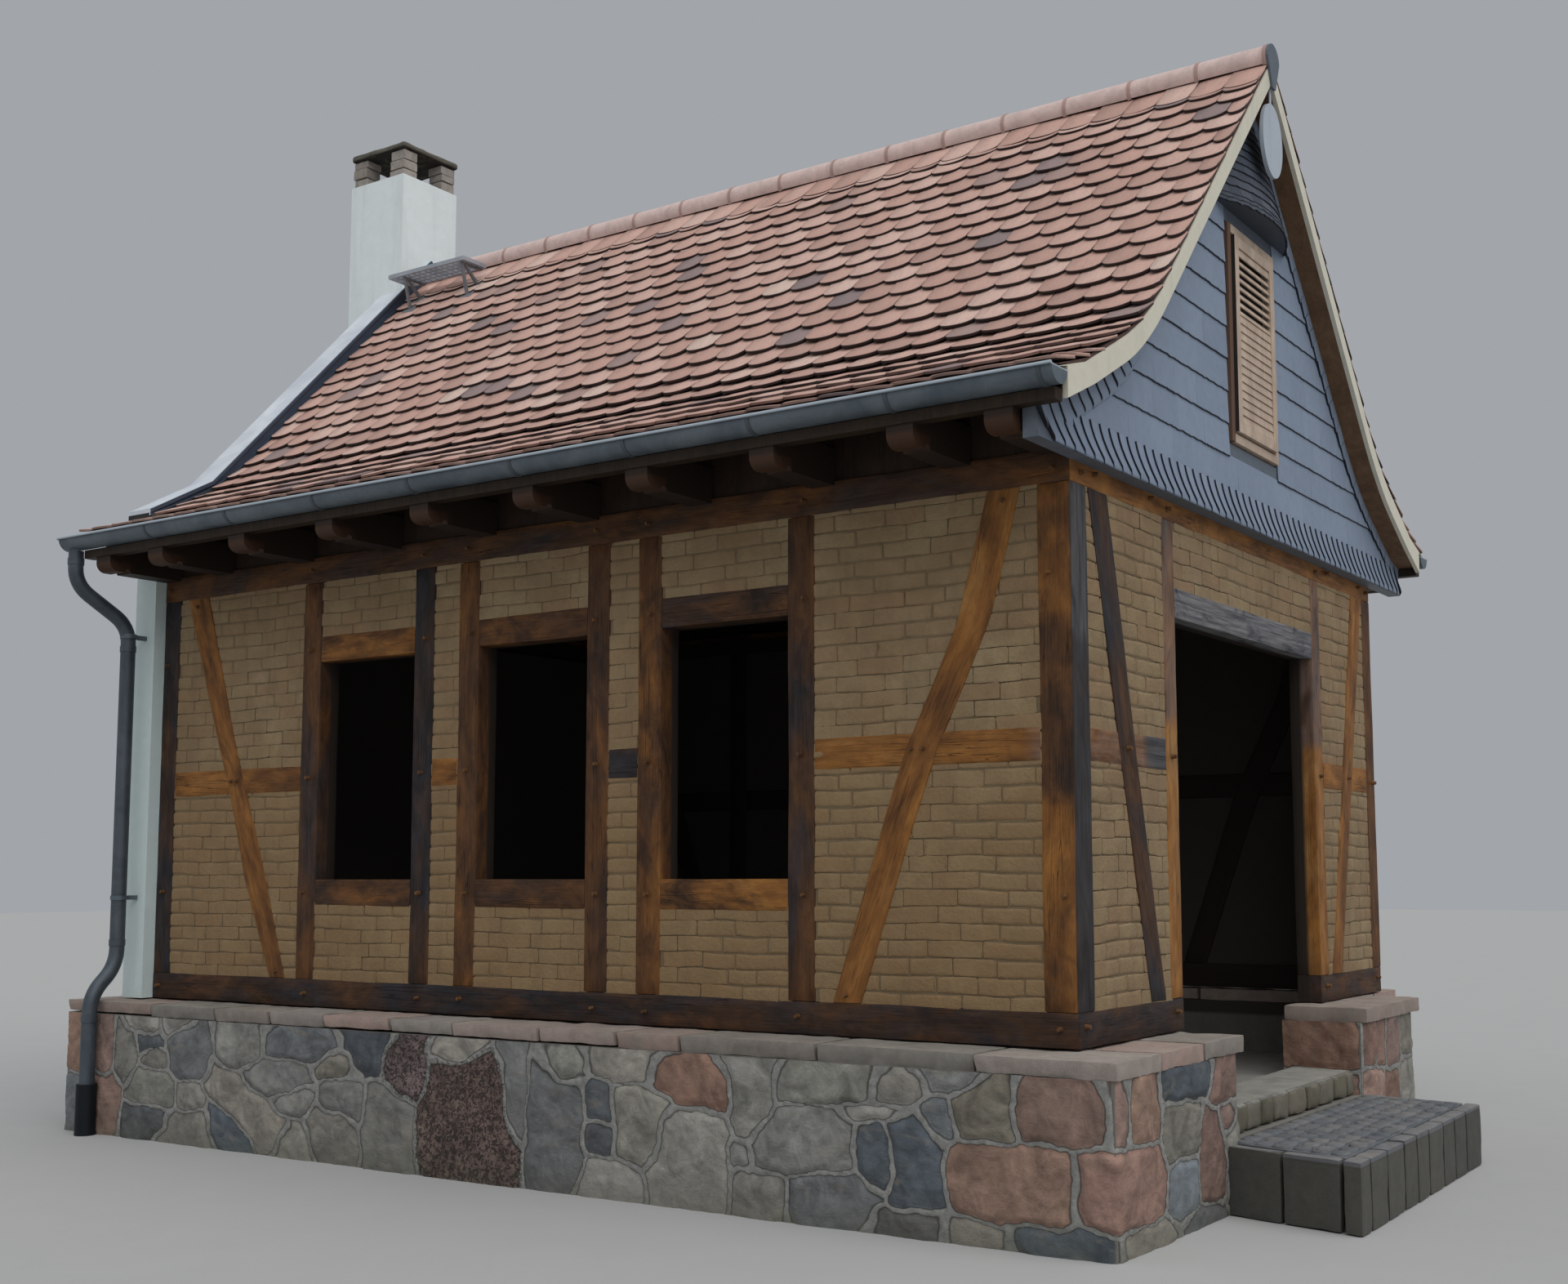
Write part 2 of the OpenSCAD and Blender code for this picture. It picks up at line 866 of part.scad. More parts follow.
shutter_w = 678;
shutter_h = 1147;
shutter_low = 2895;
shutter_y = -19;
// casing, open groove and frame of the leaf
casing_w = 46;
leaf_in = 56;
slats_in = 112;
module louvred_shutter() {
  x1 = x_door + 19;
  x2 = x_door + slate_t + 36;
  z1 = z0 + shutter_low;
  z2 = z1 + shutter_h;
  w = shutter_w / 2;
  w2 = w - slats_in;
  color([0.68, 0.58, 0.46])
    translate([0, shutter_y, 0]) {
      difference() {
        box(x1, x2, -w, w, z1, z2);
        box(x1 - 1, x2 + 1, -w2, w2, z1 + 604, z2 - slats_in);
        box(x1 - 1, x2 + 1, -w2, w2, z1 + slats_in, z1 + 532);
        difference() {
          box(x2 - 19, x2 + 1, -w + casing_w, w - casing_w, z1 + casing_w, z2 - casing_w);
          box(x2 - 20, x2 + 2, -w + leaf_in, w - leaf_in, z1 + leaf_in, z2 - leaf_in);
        }
      }
      for (i = [0 : 8])
        translate([x1 + 24, -w2, z1 + 113 + i * 47])
          rotate([0, 28, 0])
            cube([11, 2 * w2, 43]);
      for (i = [0 : 8])
        translate([x1 + 24, -w2, z1 + 605 + i * 48])
          rotate([0, 28, 0])
            cube([11, 2 * w2, 43]);
    }
}

// Gutter, downpipe and small metalwork

gutter_y = y_front - 508;
gutter_z = z0 + 2715;
x_gutter_1 = x_fire - 235;
x_gutter_2 = x_verge + 6;

module gutter() {
  l = x_gutter_2 - x_gutter_1;
  translate([x_gutter_1, gutter_y, gutter_z])
    rotate([0, 90, 0]) {
      difference() {
        cylinder(r = gutter_r, h = l);
        translate([0, 0, 4])
          cylinder(r = gutter_r - 4, h = l - 8);
        translate([-376, -188, -9])
          cube([376, 376, l + 19]);
      }
      translate([0, -gutter_r - 5, 0])
        cylinder(r = 9, h = l);
    }
}

module gutters() {
  color([0.55, 0.6, 0.66]) {
    difference() {
      gutter();
      translate([x_outlet, gutter_y, gutter_z - gutter_r - 9])
        cylinder(r = pipe_r - 4, h = 38);
    }
    mirror([0, 1, 0])
      gutter();
  }
}

module gutter_brackets() {
  color([0.5, 0.55, 0.6])
    both_slopes()
      for (x = [for (i = [0 : 8]) x_door + 19 - i * joist_pitch])
        translate([x, gutter_y, gutter_z])
          rotate([0, 90, 0])
            difference() {
              cylinder(r = gutter_r + 5, h = 24);
              translate([0, 0, -1])
                cylinder(r = gutter_r, h = 26);
              translate([-376, -188, -1])
                cube([376, 376, 26]);
            }
}

x_pipe = x_fire - 84;
x_outlet = x_fire - 160;
y_pipe = y_front - 191;
y_pipe_low = y_front - 356;

module pipe_leg(a, b, r) {
  v = b - a;
  l = norm(v);
  translate(a)
    rotate([0, acos(v[2] / l), atan2(v[1], v[0])])
      cylinder(r = r, h = l);
}

module pipe_run(r) {
  p1 = [x_outlet, gutter_y, gutter_z - gutter_r + 28];
  p2 = [x_outlet, gutter_y, gutter_z - 270];
  p3 = [x_pipe, y_pipe, gutter_z - 495];
  p4 = [x_pipe, y_pipe, z0 + 195];
  p5 = [x_pipe, y_pipe_low, z0 + 30];
  p6 = [x_pipe, y_pipe_low, 160];
  pipe_leg(p1, p2, r);
  pipe_leg(p2, p3, r);
  pipe_leg(p3, p4, r);
  pipe_leg(p4, p5, r);
  pipe_leg(p5, p6, r);
  for (p = [p2, p3, p4, p5])
    translate(p)
      sphere(r = r + 4);
}

module downpipe() {
  color([0.55, 0.6, 0.66])
    difference() {
      pipe_run(pipe_r);
      translate([x_outlet - 94, gutter_y, gutter_z])
        rotate([0, 90, 0])
          cylinder(r = gutter_r, h = 188);
    }
}

module pipe_clips() {
  color([0.5, 0.55, 0.6])
    for (z = [z0 + 581, z0 + 2147])
      difference() {
        union() {
          translate([x_pipe, y_pipe, z])
            cylinder(r = pipe_r + 5, h = 26);
          box(x_pipe - 11, x_pipe + 11, y_pipe, y_front - fire_out, z, z + 26);
        }
        translate([x_pipe, y_pipe, z - 1])
          cylinder(r = pipe_r, h = 28);
      }
}

module standpipe() {
  color([0.1, 0.1, 0.11])
    translate([x_pipe, y_pipe_low, 0])
      difference() {
        cylinder(r = 58, h = 290);
        translate([0, 0, 150])
          cylinder(r = pipe_r, h = 282);
      }
}

grate_x = x_door - 6070;
grate_l = 736;
grate_s1 = 1672;
grate_s2 = 1888;
grate_z = z0 + 4890;
module step_grating() {
  color([0.6, 0.64, 0.66])
    difference() {
      box(grate_x, grate_x + grate_l, y_front + grate_s1, y_front + grate_s2, grate_z, grate_z + 28);
      for (i = [0 : 12], j = [0 : 3])
        translate([grate_x + 21 + i * 54, y_front + grate_s1 + 15 + j * 49, grate_z - 5])
          cube([46, 39, 38]);
    }
}

// straight bar from the tiles at distances a and b up to the grating at c and d
module bracket_bar(a, b, c, d) {
  polygon([[a, tile_z(a)], [b, tile_z(b)], [d, grate_z], [c, grate_z]]);
}

module grating_brackets() {
  color([0.55, 0.58, 0.6])
    for (x = [x_door - 5929, x_door - 5373]) {
      wall_y(x - 10, x + 10)
        translate([y_front, 0]) {
          bracket_bar(1745, 1759, 1685, 1699);
          bracket_bar(1838, 1852, 1699, 1717);
          rect(grate_s1 + 4, grate_s2 - 8, grate_z - 14, grate_z);
        }
      wall_y(x - 56, x + 56)
        translate([y_front, 0])
          polygon([
            [1715, tile_z(1715)], [1875, tile_z(1875)],
            [1875, tile_z(1875) + 8], [1715, tile_z(1715) + 8]
          ]);
    }
}

module ridge_end_plate() {
  color([0.5, 0.55, 0.62])
    wall_y(x_verge, x_verge + 13)
      translate([0, z0 + ridge_z - 36])
        polygon(concat(
          [for (a = [0 : 10 : 180]) [86 * cos(a), 86 * sin(a)]],
          [[-21, -160], [21, -160]]
        ));
}

// plain oval plaque on a short rod under the verge boards
plaque_z = z0 + 4561;
plaque_h = 400;
plaque_w = 291;
module oval_plaque() {
  top = z0 + ridge_z - tile_t - verge_depth;
  color([0.78, 0.8, 0.82]) {
    translate([x_door + 179, 0, plaque_z])
      rotate([0, 90, 0])
        linear_extrude(21)
          scale([plaque_h / 2, plaque_w / 2])
            circle(r = 1, $fn = 64);
    translate([x_door + 189, 0, plaque_z + plaque_h / 2 - 9])
      cylinder(r = 7, h = top - plaque_z - plaque_h / 2 + 9);
  }
}

plinth_long_walls();
plinth_end_walls();
coping_slabs();
door_tread();
platform_edging();
platform_bed();
floor_slab();
sill_beams();
corner_posts();
wall_posts();
door_posts();
window_rails();
mid_rails();
braces();
door_lintel();
wall_plates();
infill_long_walls();
infill_gable();
fire_wall();
parapet_cap();
chimney_shaft();
chimney_piers();
chimney_cap();
ceiling_joists();
eaves_filling();
rafters();
sprockets();
roof_boarding();
roof_tiles_front();
roof_tiles_back();
ridge_tiles();
verge_boards();
verge_soffit();
eaves_boards();
gable_slating();
slate_foot_band();
gable_hood();
louvred_shutter();
gutters();
gutter_brackets();
downpipe();
pipe_clips();
standpipe();
step_grating();
grating_brackets();
ridge_end_plate();
oval_plaque();
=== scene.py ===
"""Looks of the half timbered house: timbers, bricks, rubble plinth, tiles, slates and their finishes."""

import json
import math
import random

import bpy
import numpy as np
from mathutils import Matrix, Vector, noise


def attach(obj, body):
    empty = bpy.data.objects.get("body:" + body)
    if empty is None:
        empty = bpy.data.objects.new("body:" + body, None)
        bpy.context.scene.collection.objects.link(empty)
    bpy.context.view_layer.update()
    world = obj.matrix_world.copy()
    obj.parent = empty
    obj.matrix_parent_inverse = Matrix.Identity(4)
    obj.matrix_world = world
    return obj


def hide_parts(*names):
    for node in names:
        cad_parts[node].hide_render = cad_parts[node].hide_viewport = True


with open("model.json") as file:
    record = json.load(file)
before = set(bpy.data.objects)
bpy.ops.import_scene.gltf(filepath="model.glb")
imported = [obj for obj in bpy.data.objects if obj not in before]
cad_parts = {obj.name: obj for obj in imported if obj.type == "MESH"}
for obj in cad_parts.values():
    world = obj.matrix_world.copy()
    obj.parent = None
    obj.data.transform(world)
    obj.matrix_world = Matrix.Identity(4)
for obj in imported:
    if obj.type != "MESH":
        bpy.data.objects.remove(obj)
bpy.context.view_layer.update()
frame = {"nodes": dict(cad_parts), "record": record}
noise.seed_set(1)  # the noise gives the same house in each run

# sizes of the house, in metres
FRONT = -2.090  # outer face of the front wall's timbers, as Y
BACK = 2.090
GABLE = 3.102  # outer face of the gable wall's timbers, as X
CHIMNEY_END = -3.008  # the fire wall's inner side, as X
SILL_FOOT = 0.770
SILL_TOP = 0.920
PLATE_FOOT = 3.148
PLATE_TOP = 3.298
TIMBER = 0.140
AT_GABLE = 2.9  # timbers beyond this X stand in the gable wall
AT_FRONT = -1.9  # timbers beyond this Y stand in the front wall
INFILL_BACK = 0.008  # the clay panels stand back from the timber by this much
PLINTH_X = 3.384
PLINTH_Y = 2.372
PLINTH_TOP = 0.690
DOOR_LEFT = -1.084  # the gap in the plinth, as Y
DOOR_RIGHT = 0.735
VERGE = 3.305  # outer end of the tiles over the gable, as X
TILE = 0.191  # width of one roof tile
GAUGE = 0.150  # height of one tile course along the slope
BRICK = 0.248  # length of a brick with its joint
COURSE = 0.0742  # height of a brick course
RIDGE = 5.808  # height of the tiles at the ridge
STEEP, GENTLE, FLAT = 1.09, 0.53, 0.25  # slopes of the tiles: above, at the foot, and over the gutter
BEND = 0.376  # where the two upper slopes would meet, inwards from the wall's outer face
CURVE_FOOT, CURVE_HEAD = 0.132, 0.620  # the ends of the curve between them
EAVES_BEND = -0.235  # where the last short slope begins


def roof_z(s):
    """Height of the tiles' upper side, s metres inwards from the outer face of a long wall."""
    kick = RIDGE - STEEP * (BACK - BEND)
    foot = kick - GENTLE * (BEND - max(s, EAVES_BEND)) - FLAT * (EAVES_BEND - min(s, EAVES_BEND))
    if s <= CURVE_FOOT:
        return foot
    if s >= CURVE_HEAD:
        return RIDGE - STEEP * (BACK - s)
    part = (s - CURVE_FOOT) / (CURVE_HEAD - CURVE_FOOT)
    return foot + (STEEP - GENTLE) * 0.244 * part * part


def held(value, low=0.0, high=1.0):
    """value, taken no lower than low and no higher than high."""
    return min(max(value, low), high)


def eaves_share(s):
    """0 over the wall and 1 at the outermost edge of the roof."""
    return held((-0.2 - s) / 0.36)


# small helpers for meshes
def make_object(name, points, faces, material, smooth_angle=35.0, **values):
    """A mesh object at the origin; each of values is stored at the points under its own name."""
    mesh = bpy.data.meshes.new(name)
    mesh.from_pydata([tuple(p) for p in points], [], [tuple(f) for f in faces])
    for key, value in values.items():
        value = np.asarray(value, np.float32)
        kind = "FLOAT" if value.ndim == 1 else "FLOAT_VECTOR"
        layer = mesh.attributes.new(key, kind, "POINT")
        layer.data.foreach_set("value" if value.ndim == 1 else "vector", value.ravel())
    mesh.polygons.foreach_set("use_smooth", [True] * len(mesh.polygons))
    mesh.set_sharp_from_angle(angle=math.radians(smooth_angle))
    mesh.update()
    made = bpy.data.objects.new(name.replace(" ", "_"), mesh)
    bpy.context.scene.collection.objects.link(made)
    if material:
        mesh.materials.append(material)
    return made


def settle(piece, slot, *nodes):
    """The piece belongs to the house and stands for the named CAD nodes, which it hides; slot is not used."""
    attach(piece, "root")
    if nodes:
        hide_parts(*nodes)
    return piece


class Heap:
    """Points, faces and stored values of many pieces that end up in one mesh."""

    def __init__(self):
        self.points, self.faces, self.values = [], [], {}

    def add(self, points, faces, **values):
        first = len(self.points)
        self.points += [tuple(p) for p in points]
        self.faces += [tuple(i + first for i in f) for f in faces]
        for key, value in values.items():
            value = list(value) if hasattr(value, "__len__") else [value] * len(points)
            self.values.setdefault(key, []).extend(value)

    def build(self, name, material, **options):
        values = {k: np.array(v, np.float32) for k, v in self.values.items()}
        return make_object(name, self.points, self.faces, material, **options, **values)


def solids(node):
    """The points of each separate solid of a CAD node, as arrays."""
    mesh = frame["nodes"][node].data
    points = np.array([v.co for v in mesh.vertices], float)
    keys = {}
    same = [keys.setdefault(tuple(k), len(keys)) for k in np.round(points * 1e4).astype(int)]
    group = list(range(len(keys)))

    def top(i):
        while group[i] != i:
            group[i] = group[group[i]]
            i = group[i]
        return i

    for face in mesh.polygons:
        first = top(same[face.vertices[0]])
        for v in face.vertices[1:]:
            group[top(same[v])] = first
    parts = {}
    for i, k in enumerate(same):
        parts.setdefault(top(k), []).append(points[i])
    return sorted((np.array(p) for p in parts.values()), key=lambda p: tuple(p.min(0).round(3)))


def band_faces(count, bands):
    """Faces of bands between rings that have count points each."""
    faces = []
    for first in range(0, count * bands, count):
        for j in range(count):
            a, b = first + j, first + (j + 1) % count
            faces.append((a, b, b + count, a + count))
    return faces


def strip_faces(count):
    """Faces of a closed strip of count lengths, whose section has four points."""
    faces = [(0, 1, 2, 3), (4 * count + 3, 4 * count + 2, 4 * count + 1, 4 * count)]
    for a in range(0, 4 * count, 4):
        faces += [(a, a + 4, a + 5, a + 1), (a + 1, a + 5, a + 6, a + 2), (a + 2, a + 6, a + 7, a + 3),
                  (a, a + 3, a + 7, a + 4)]
    return faces


def boxes(node):
    """Lowest and highest corner of each solid of a CAD node."""
    return [(p.min(0), p.max(0)) for p in solids(node)]


# small helpers for shader and geometry nodes
def colour(value):
    """A colour with its fourth number, from three numbers."""
    return tuple(value) + ((1.0,) if len(value) == 3 else ())


def feed(socket, value):
    """Links the output of another node to the socket, or gives it a plain value."""
    if isinstance(value, bpy.types.NodeSocket):
        socket.id_data.links.new(value, socket)
    else:
        socket.default_value = colour(value) if socket.type == "RGBA" else value


def tree_of(*values):
    """The node tree of the first value that is an output of a node."""
    return next(value.id_data for value in values if isinstance(value, bpy.types.NodeSocket))


def put(tree, kind, settings=None, **inputs):
    """Adds a node. An input is named by its label with _ for a space, or by its number as in i1."""
    node = tree.nodes.new(kind)
    for key, value in (settings or {}).items():
        setattr(node, key, value)
    for key, value in inputs.items():
        feed(node.inputs[int(key[1:]) if key[1:].isdigit() else key.replace("_", " ")], value)
    return node


def grain_noise(place, scale, detail=4.0, roughness=0.55, bend=0.0):
    return put(place.id_data, "ShaderNodeTexNoise", None, Vector=place, Scale=scale, Detail=detail,
               Roughness=roughness, Distortion=bend).outputs["Fac"]


def between(value, low, high, to_low=0.0, to_high=1.0):
    """value taken from low..high to to_low..to_high, and held there."""
    return put(value.id_data, "ShaderNodeMapRange", None, Value=value, From_Min=low, From_Max=high,
               To_Min=to_low, To_Max=to_high).outputs[0]


def sums(how, a, b=0.0):
    return put(tree_of(a, b), "ShaderNodeMath", {"operation": how}, i0=a, i1=b).outputs[0]


def plus(a, b):
    return sums("ADD", a, b)


def minus(a, b):
    return sums("SUBTRACT", a, b)


def times(a, b):
    return sums("MULTIPLY", a, b)


def blend(share, a, b, how="MIX"):
    """Two colours mixed by share."""
    return put(tree_of(share, a, b), "ShaderNodeMix", {"data_type": "RGBA", "blend_type": how},
               i0=share, i6=a, i7=b).outputs[2]


def ramp(value, stops):
    """The colour that the stops (position, colour) give for a value; the first is at 0 and the last at 1."""
    node = put(value.id_data, "ShaderNodeValToRGB", None, Fac=value)
    marks = node.color_ramp.elements
    marks[0].color, marks[1].color = colour(stops[0][1]), colour(stops[-1][1])
    for position, shade in stops[1:-1]:
        marks.new(position).color = colour(shade)
    return node.outputs[0]


def stretched(place, x, y, z):
    """place multiplied by a number for each direction."""
    return put(place.id_data, "ShaderNodeMapping", None, Vector=place, Scale=(x, y, z)).outputs[0]


def parts_of(vector):
    """X, Y and Z of a vector."""
    return put(vector.id_data, "ShaderNodeSeparateXYZ", None, i0=vector).outputs


def vector_of(x, y, z=0.0):
    return put(tree_of(x, y, z), "ShaderNodeCombineXYZ", None, X=x, Y=y, Z=z).outputs[0]


def grey_of(value):
    """A grey as light as the value."""
    return put(value.id_data, "ShaderNodeCombineColor", None, i0=value, i1=value, i2=value).outputs[0]


def place_in(tree):
    """The place on the object, in metres."""
    return put(tree, "ShaderNodeTexCoord").outputs["Object"]


def value_of(tree, name, vector=False):
    """A value stored at the points of the mesh."""
    return put(tree, "ShaderNodeAttribute", {"attribute_name": name}).outputs["Vector" if vector else "Fac"]


def group_inputs(tree, inputs):
    """Gives a node group its inputs (label, kind, value) and returns them as they are inside it."""
    for label, kind, value in inputs:
        socket = tree.interface.new_socket(label, in_out="INPUT", socket_type="NodeSocket" + kind)
        if value is not None:
            socket.default_value = colour(value) if kind == "Color" else value
    return put(tree, "NodeGroupInput").outputs


def shader_group(name, inputs, outputs):
    """An empty shader node group, its tree and its two ends."""
    tree = bpy.data.node_groups.new(name, "ShaderNodeTree")
    for label, kind in outputs:
        tree.interface.new_socket(label, in_out="OUTPUT", socket_type="NodeSocket" + kind)
    return tree, group_inputs(tree, inputs), put(tree, "NodeGroupOutput").inputs


def use_group(group, **inputs):
    return put(tree_of(*inputs.values()), "ShaderNodeGroup", {"node_tree": group}, **inputs).outputs


def new_material(name):
    """A material with an empty tree; finish_material closes it."""
    made = bpy.data.materials.new(name)
    made.use_nodes = True
    made.node_tree.nodes.clear()
    return made, made.node_tree


def finish_material(base, rough, height, relief=0.004, metal=0.0, shine=0.5):
    """Joins colour, roughness and relief to the surface shader; relief is the bump's depth in metres."""
    tree = base.id_data
    bump = put(tree, "ShaderNodeBump", None, Height=height, Distance=relief, Strength=1.0).outputs[0]
    shader = put(tree, "ShaderNodeBsdfPrincipled", None, Base_Color=base, Roughness=rough,
                 Metallic=metal, Specular_IOR_Level=shine, Normal=bump)
    put(tree, "ShaderNodeOutputMaterial", None, i0=shader.outputs[0])


# shared effects
def make_wood_grain():
    """Sawn or hewn wood: streaks along the third direction of Place, dark checks and stained patches."""
    tree, given, ends = shader_group(
        "wood grain",
        [("Place", "Vector", None), ("Light", "Color", (0.4, 0.2, 0.08)),
         ("Dark", "Color", (0.1, 0.05, 0.03)),
         ("Stain", "Color", (0.03, 0.03, 0.04)), ("Stain share", "Float", 0.3), ("Checks", "Float", 1.0)],
        [("Color", "Color"), ("Height", "Float"), ("Roughness", "Float")],
    )
    place = given["Place"]
    fine = grain_noise(stretched(place, 60, 60, 1.6), 3.0, 6, 0.65, 0.3)
    broad = grain_noise(stretched(place, 14, 14, 1.1), 1.0, 4, 0.6, 0.6)
    patch = grain_noise(stretched(place, 6, 6, 3.0), 1.0, 4, 0.6, 1.2)
    stain = grain_noise(stretched(place, 5, 5, 2.2), 0.9, 5, 0.62, 1.5)
    crack = grain_noise(stretched(place, 38, 38, 1.2), 1.0, 2, 0.4, 0.4)
    thin = between(sums("ABSOLUTE", minus(crack, 0.5), 0.0), 0.0, 0.012)
    where = between(grain_noise(stretched(place, 9, 9, 2.0), 1.0, 1, 0.5), 0.52, 0.6)
    split = times(minus(1.0, thin), where)
    split = times(split, given["Checks"])
    streak = blend(between(fine, 0.35, 0.68), given["Dark"], given["Light"])
    base = blend(between(patch, 0.36, 0.62), streak, given["Light"])
    base = blend(between(broad, 0.5, 0.7, 0.0, 0.55), base, given["Dark"])
    limit = minus(0.78, times(given["Stain share"], 0.5))
    mask = minus(stain, limit)
    base = blend(between(mask, -0.06, 0.14, 0.0, 0.9), base, given["Stain"])
    mottle = grain_noise(stretched(place, 16, 16, 7.0), 1.0, 6, 0.7, 0.5)
    base = blend(between(mottle, 0.42, 0.62, 0.0, 0.4), base, given["Dark"])
    base = blend(between(mottle, 0.44, 0.30, 0.0, 0.35), base, given["Light"])
    base = blend(times(split, 0.85), base, (0.012, 0.009, 0.008))
    tree.links.new(base, ends["Color"])
    ridge = times(between(fine, 0.3, 0.7), 0.35)
    tree.links.new(minus(ridge, split), ends["Height"])
    tree.links.new(between(fine, 0.3, 0.7, 0.72, 0.5), ends["Roughness"])
    return tree


def make_speckle():
    """Fine mineral grain laid over a colour, with a little relief."""
    tree, given, ends = shader_group(
        "mineral speckle",
        [("Place", "Vector", None), ("Color", "Color", (0.4, 0.4, 0.4)), ("Grain size", "Float", 0.004),
         ("Contrast", "Float", 0.4)],
        [("Color", "Color"), ("Height", "Float")],
    )
    scale = sums("DIVIDE", 1.0, given["Grain size"])
    fine = grain_noise(given["Place"], scale, 3, 0.6)
    broad = grain_noise(given["Place"], times(scale, 0.06), 5, 0.6, 0.5)
    shade = plus(times(fine, 0.5), times(broad, 0.5))
    low = minus(1.0, given["Contrast"])
    high = plus(1.0, given["Contrast"])
    grey = grey_of(between(shade, 0.3, 0.7, low, high))
    tree.links.new(blend(1.0, given["Color"], grey, "MULTIPLY"), ends["Color"])
    tree.links.new(fine, ends["Height"])
    return tree


def make_weather():
    """Dust on upward faces, and dark soiling in faint upright streaks."""
    tree, given, ends = shader_group(
        "weathering",
        [("Place", "Vector", None), ("Color", "Color", (0.4, 0.4, 0.4)), ("Dust", "Float", 0.2),
         ("Dust color", "Color", (0.42, 0.38, 0.32)), ("Soiling", "Float", 0.2)],
        [("Color", "Color")],
    )
    normal = put(tree, "ShaderNodeNewGeometry").outputs["Normal"]
    up = parts_of(normal)["Z"]
    cloud = grain_noise(given["Place"], 5.0, 5, 0.65)
    dust = times(between(up, 0.2, 0.9), between(cloud, 0.35, 0.65))
    base = blend(times(dust, given["Dust"]), given["Color"], given["Dust color"])
    streak = grain_noise(stretched(given["Place"], 9, 9, 0.9), 1.0, 4, 0.6)
    dirt = times(between(streak, 0.5, 0.75), given["Soiling"])
    base = blend(dirt, base, (0.05, 0.045, 0.04))
    tree.links.new(base, ends["Color"])
    return tree


def make_indoor_shade():
    """1 within the rooms, whose walls and timbers get painted shade because the rooms are unlit, and 0
    outside.
    """
    tree, given, ends = shader_group("indoor shade", [("Place", "Vector", None)], [("Share", "Float")])
    spot = parts_of(given["Place"])
    share = between(sums("ABSOLUTE", spot["Y"], 0.0), 2.02, 2.00)
    for axis, low, high in (("X", 3.04, 3.02), ("Z", 3.27, 3.25), ("X", -3.03, -3.01), ("Z", 0.60, 0.62)):
        share = times(share, between(spot[axis], low, high))
    tree.links.new(share, ends["Share"])
    return tree


WOOD_GRAIN = make_wood_grain()
INDOOR_SHADE = make_indoor_shade()
SPECKLE = make_speckle()
WEATHER = make_weather()


# materials
def oak_material():
    """Oiled oak: each timber's own tone runs from near black over brown to orange and tan."""
    made, tree = new_material("oiled oak")
    place = value_of(tree, "place", vector=True)
    cloud = grain_noise(stretched(place, 4.5, 4.5, 1.5), 1.0, 6, 0.62, 0.7)
    tone = plus(value_of(tree, "tone"), between(cloud, 0.3, 0.7, -0.26, 0.22))
    steps = (
        (0.00, (0.040, 0.036, 0.040), (0.013, 0.012, 0.014)),
        (0.22, (0.088, 0.044, 0.024), (0.026, 0.015, 0.010)),
        (0.45, (0.170, 0.072, 0.024), (0.058, 0.026, 0.012)),
        (0.70, (0.335, 0.145, 0.036), (0.142, 0.056, 0.017)),
        (1.00, (0.430, 0.235, 0.085), (0.215, 0.112, 0.044)),
    )
    coords = place_in(tree)
    light = ramp(tone, [(position, pale) for position, pale, _ in steps])
    dark = ramp(tone, [(position, deep) for position, _, deep in steps])
    wood = use_group(WOOD_GRAIN, Place=place, Light=light, Dark=dark, Stain=(0.020, 0.014, 0.012),
                     Stain_share=value_of(tree, "stain"), Checks=1.0)
    silver = blend(between(grain_noise(stretched(place, 30, 30, 1.5), 2.0, 5, 0.6), 0.35, 0.65),
                   (0.080, 0.083, 0.094), (0.270, 0.260, 0.262))
    blot = grain_noise(stretched(place, 8, 8, 3.5), 1.0, 5, 0.6, 0.6)
    silver = blend(between(blot, 0.55, 0.66, 0.0, 0.85), silver, (0.020, 0.022, 0.032))
    base = blend(value_of(tree, "grey"), wood["Color"], silver)
    # painted shade on the timbers within the rooms
    base = blend(use_group(INDOOR_SHADE, Place=coords)["Share"], base, (0.030, 0.022, 0.018))
    finish_material(base, wood["Roughness"], wood["Height"], 0.002, shine=0.16)
    return made


def painted_bands(coords, base, bands):
    """Colours laid over base between two positions along X, Y or Z, their edges soft metres wide."""
    for axis, start, end, soft, paint in bands:
        spot = parts_of(coords)[axis]
        share = times(between(spot, start, start + soft), between(spot, end, end - soft))
        base = blend(share, base, paint)
    return base


def plain_wood_material(name, light, dark, stain=0.0, checks=0.3, bands=()):
    """Wood of a CAD piece, its grain along Z. Bands (axis, from, to, soft, colour) are painted on."""
    made, tree = new_material(name)
    coords = place_in(tree)
    wood = use_group(WOOD_GRAIN, Place=coords, Light=light, Dark=dark, Stain_share=stain, Checks=checks)
    base = painted_bands(coords, wood["Color"], bands)
    finish_material(base, wood["Roughness"], wood["Height"], 0.0012, shine=0.2)
    return made


def mineral_material(name, base, grain=0.004, contrast=0.3, relief=0.002, rough=0.9, dust=0.1, soiling=0.15,
                     shine=0.5):
    """Render, stone, concrete or slate of a CAD piece."""
    made, tree = new_material(name)
    coords = place_in(tree)
    stone = use_group(SPECKLE, Place=coords, Color=base, Grain_size=grain, Contrast=contrast)
    worn = use_group(WEATHER, Place=coords, Color=stone["Color"], Dust=dust, Soiling=soiling)
    # painted shade on the walls within the rooms
    base = blend(use_group(INDOOR_SHADE, Place=coords)["Share"], worn["Color"], (0.055, 0.047, 0.040))
    finish_material(base, rough, stone["Height"], relief, shine=shine)
    return made


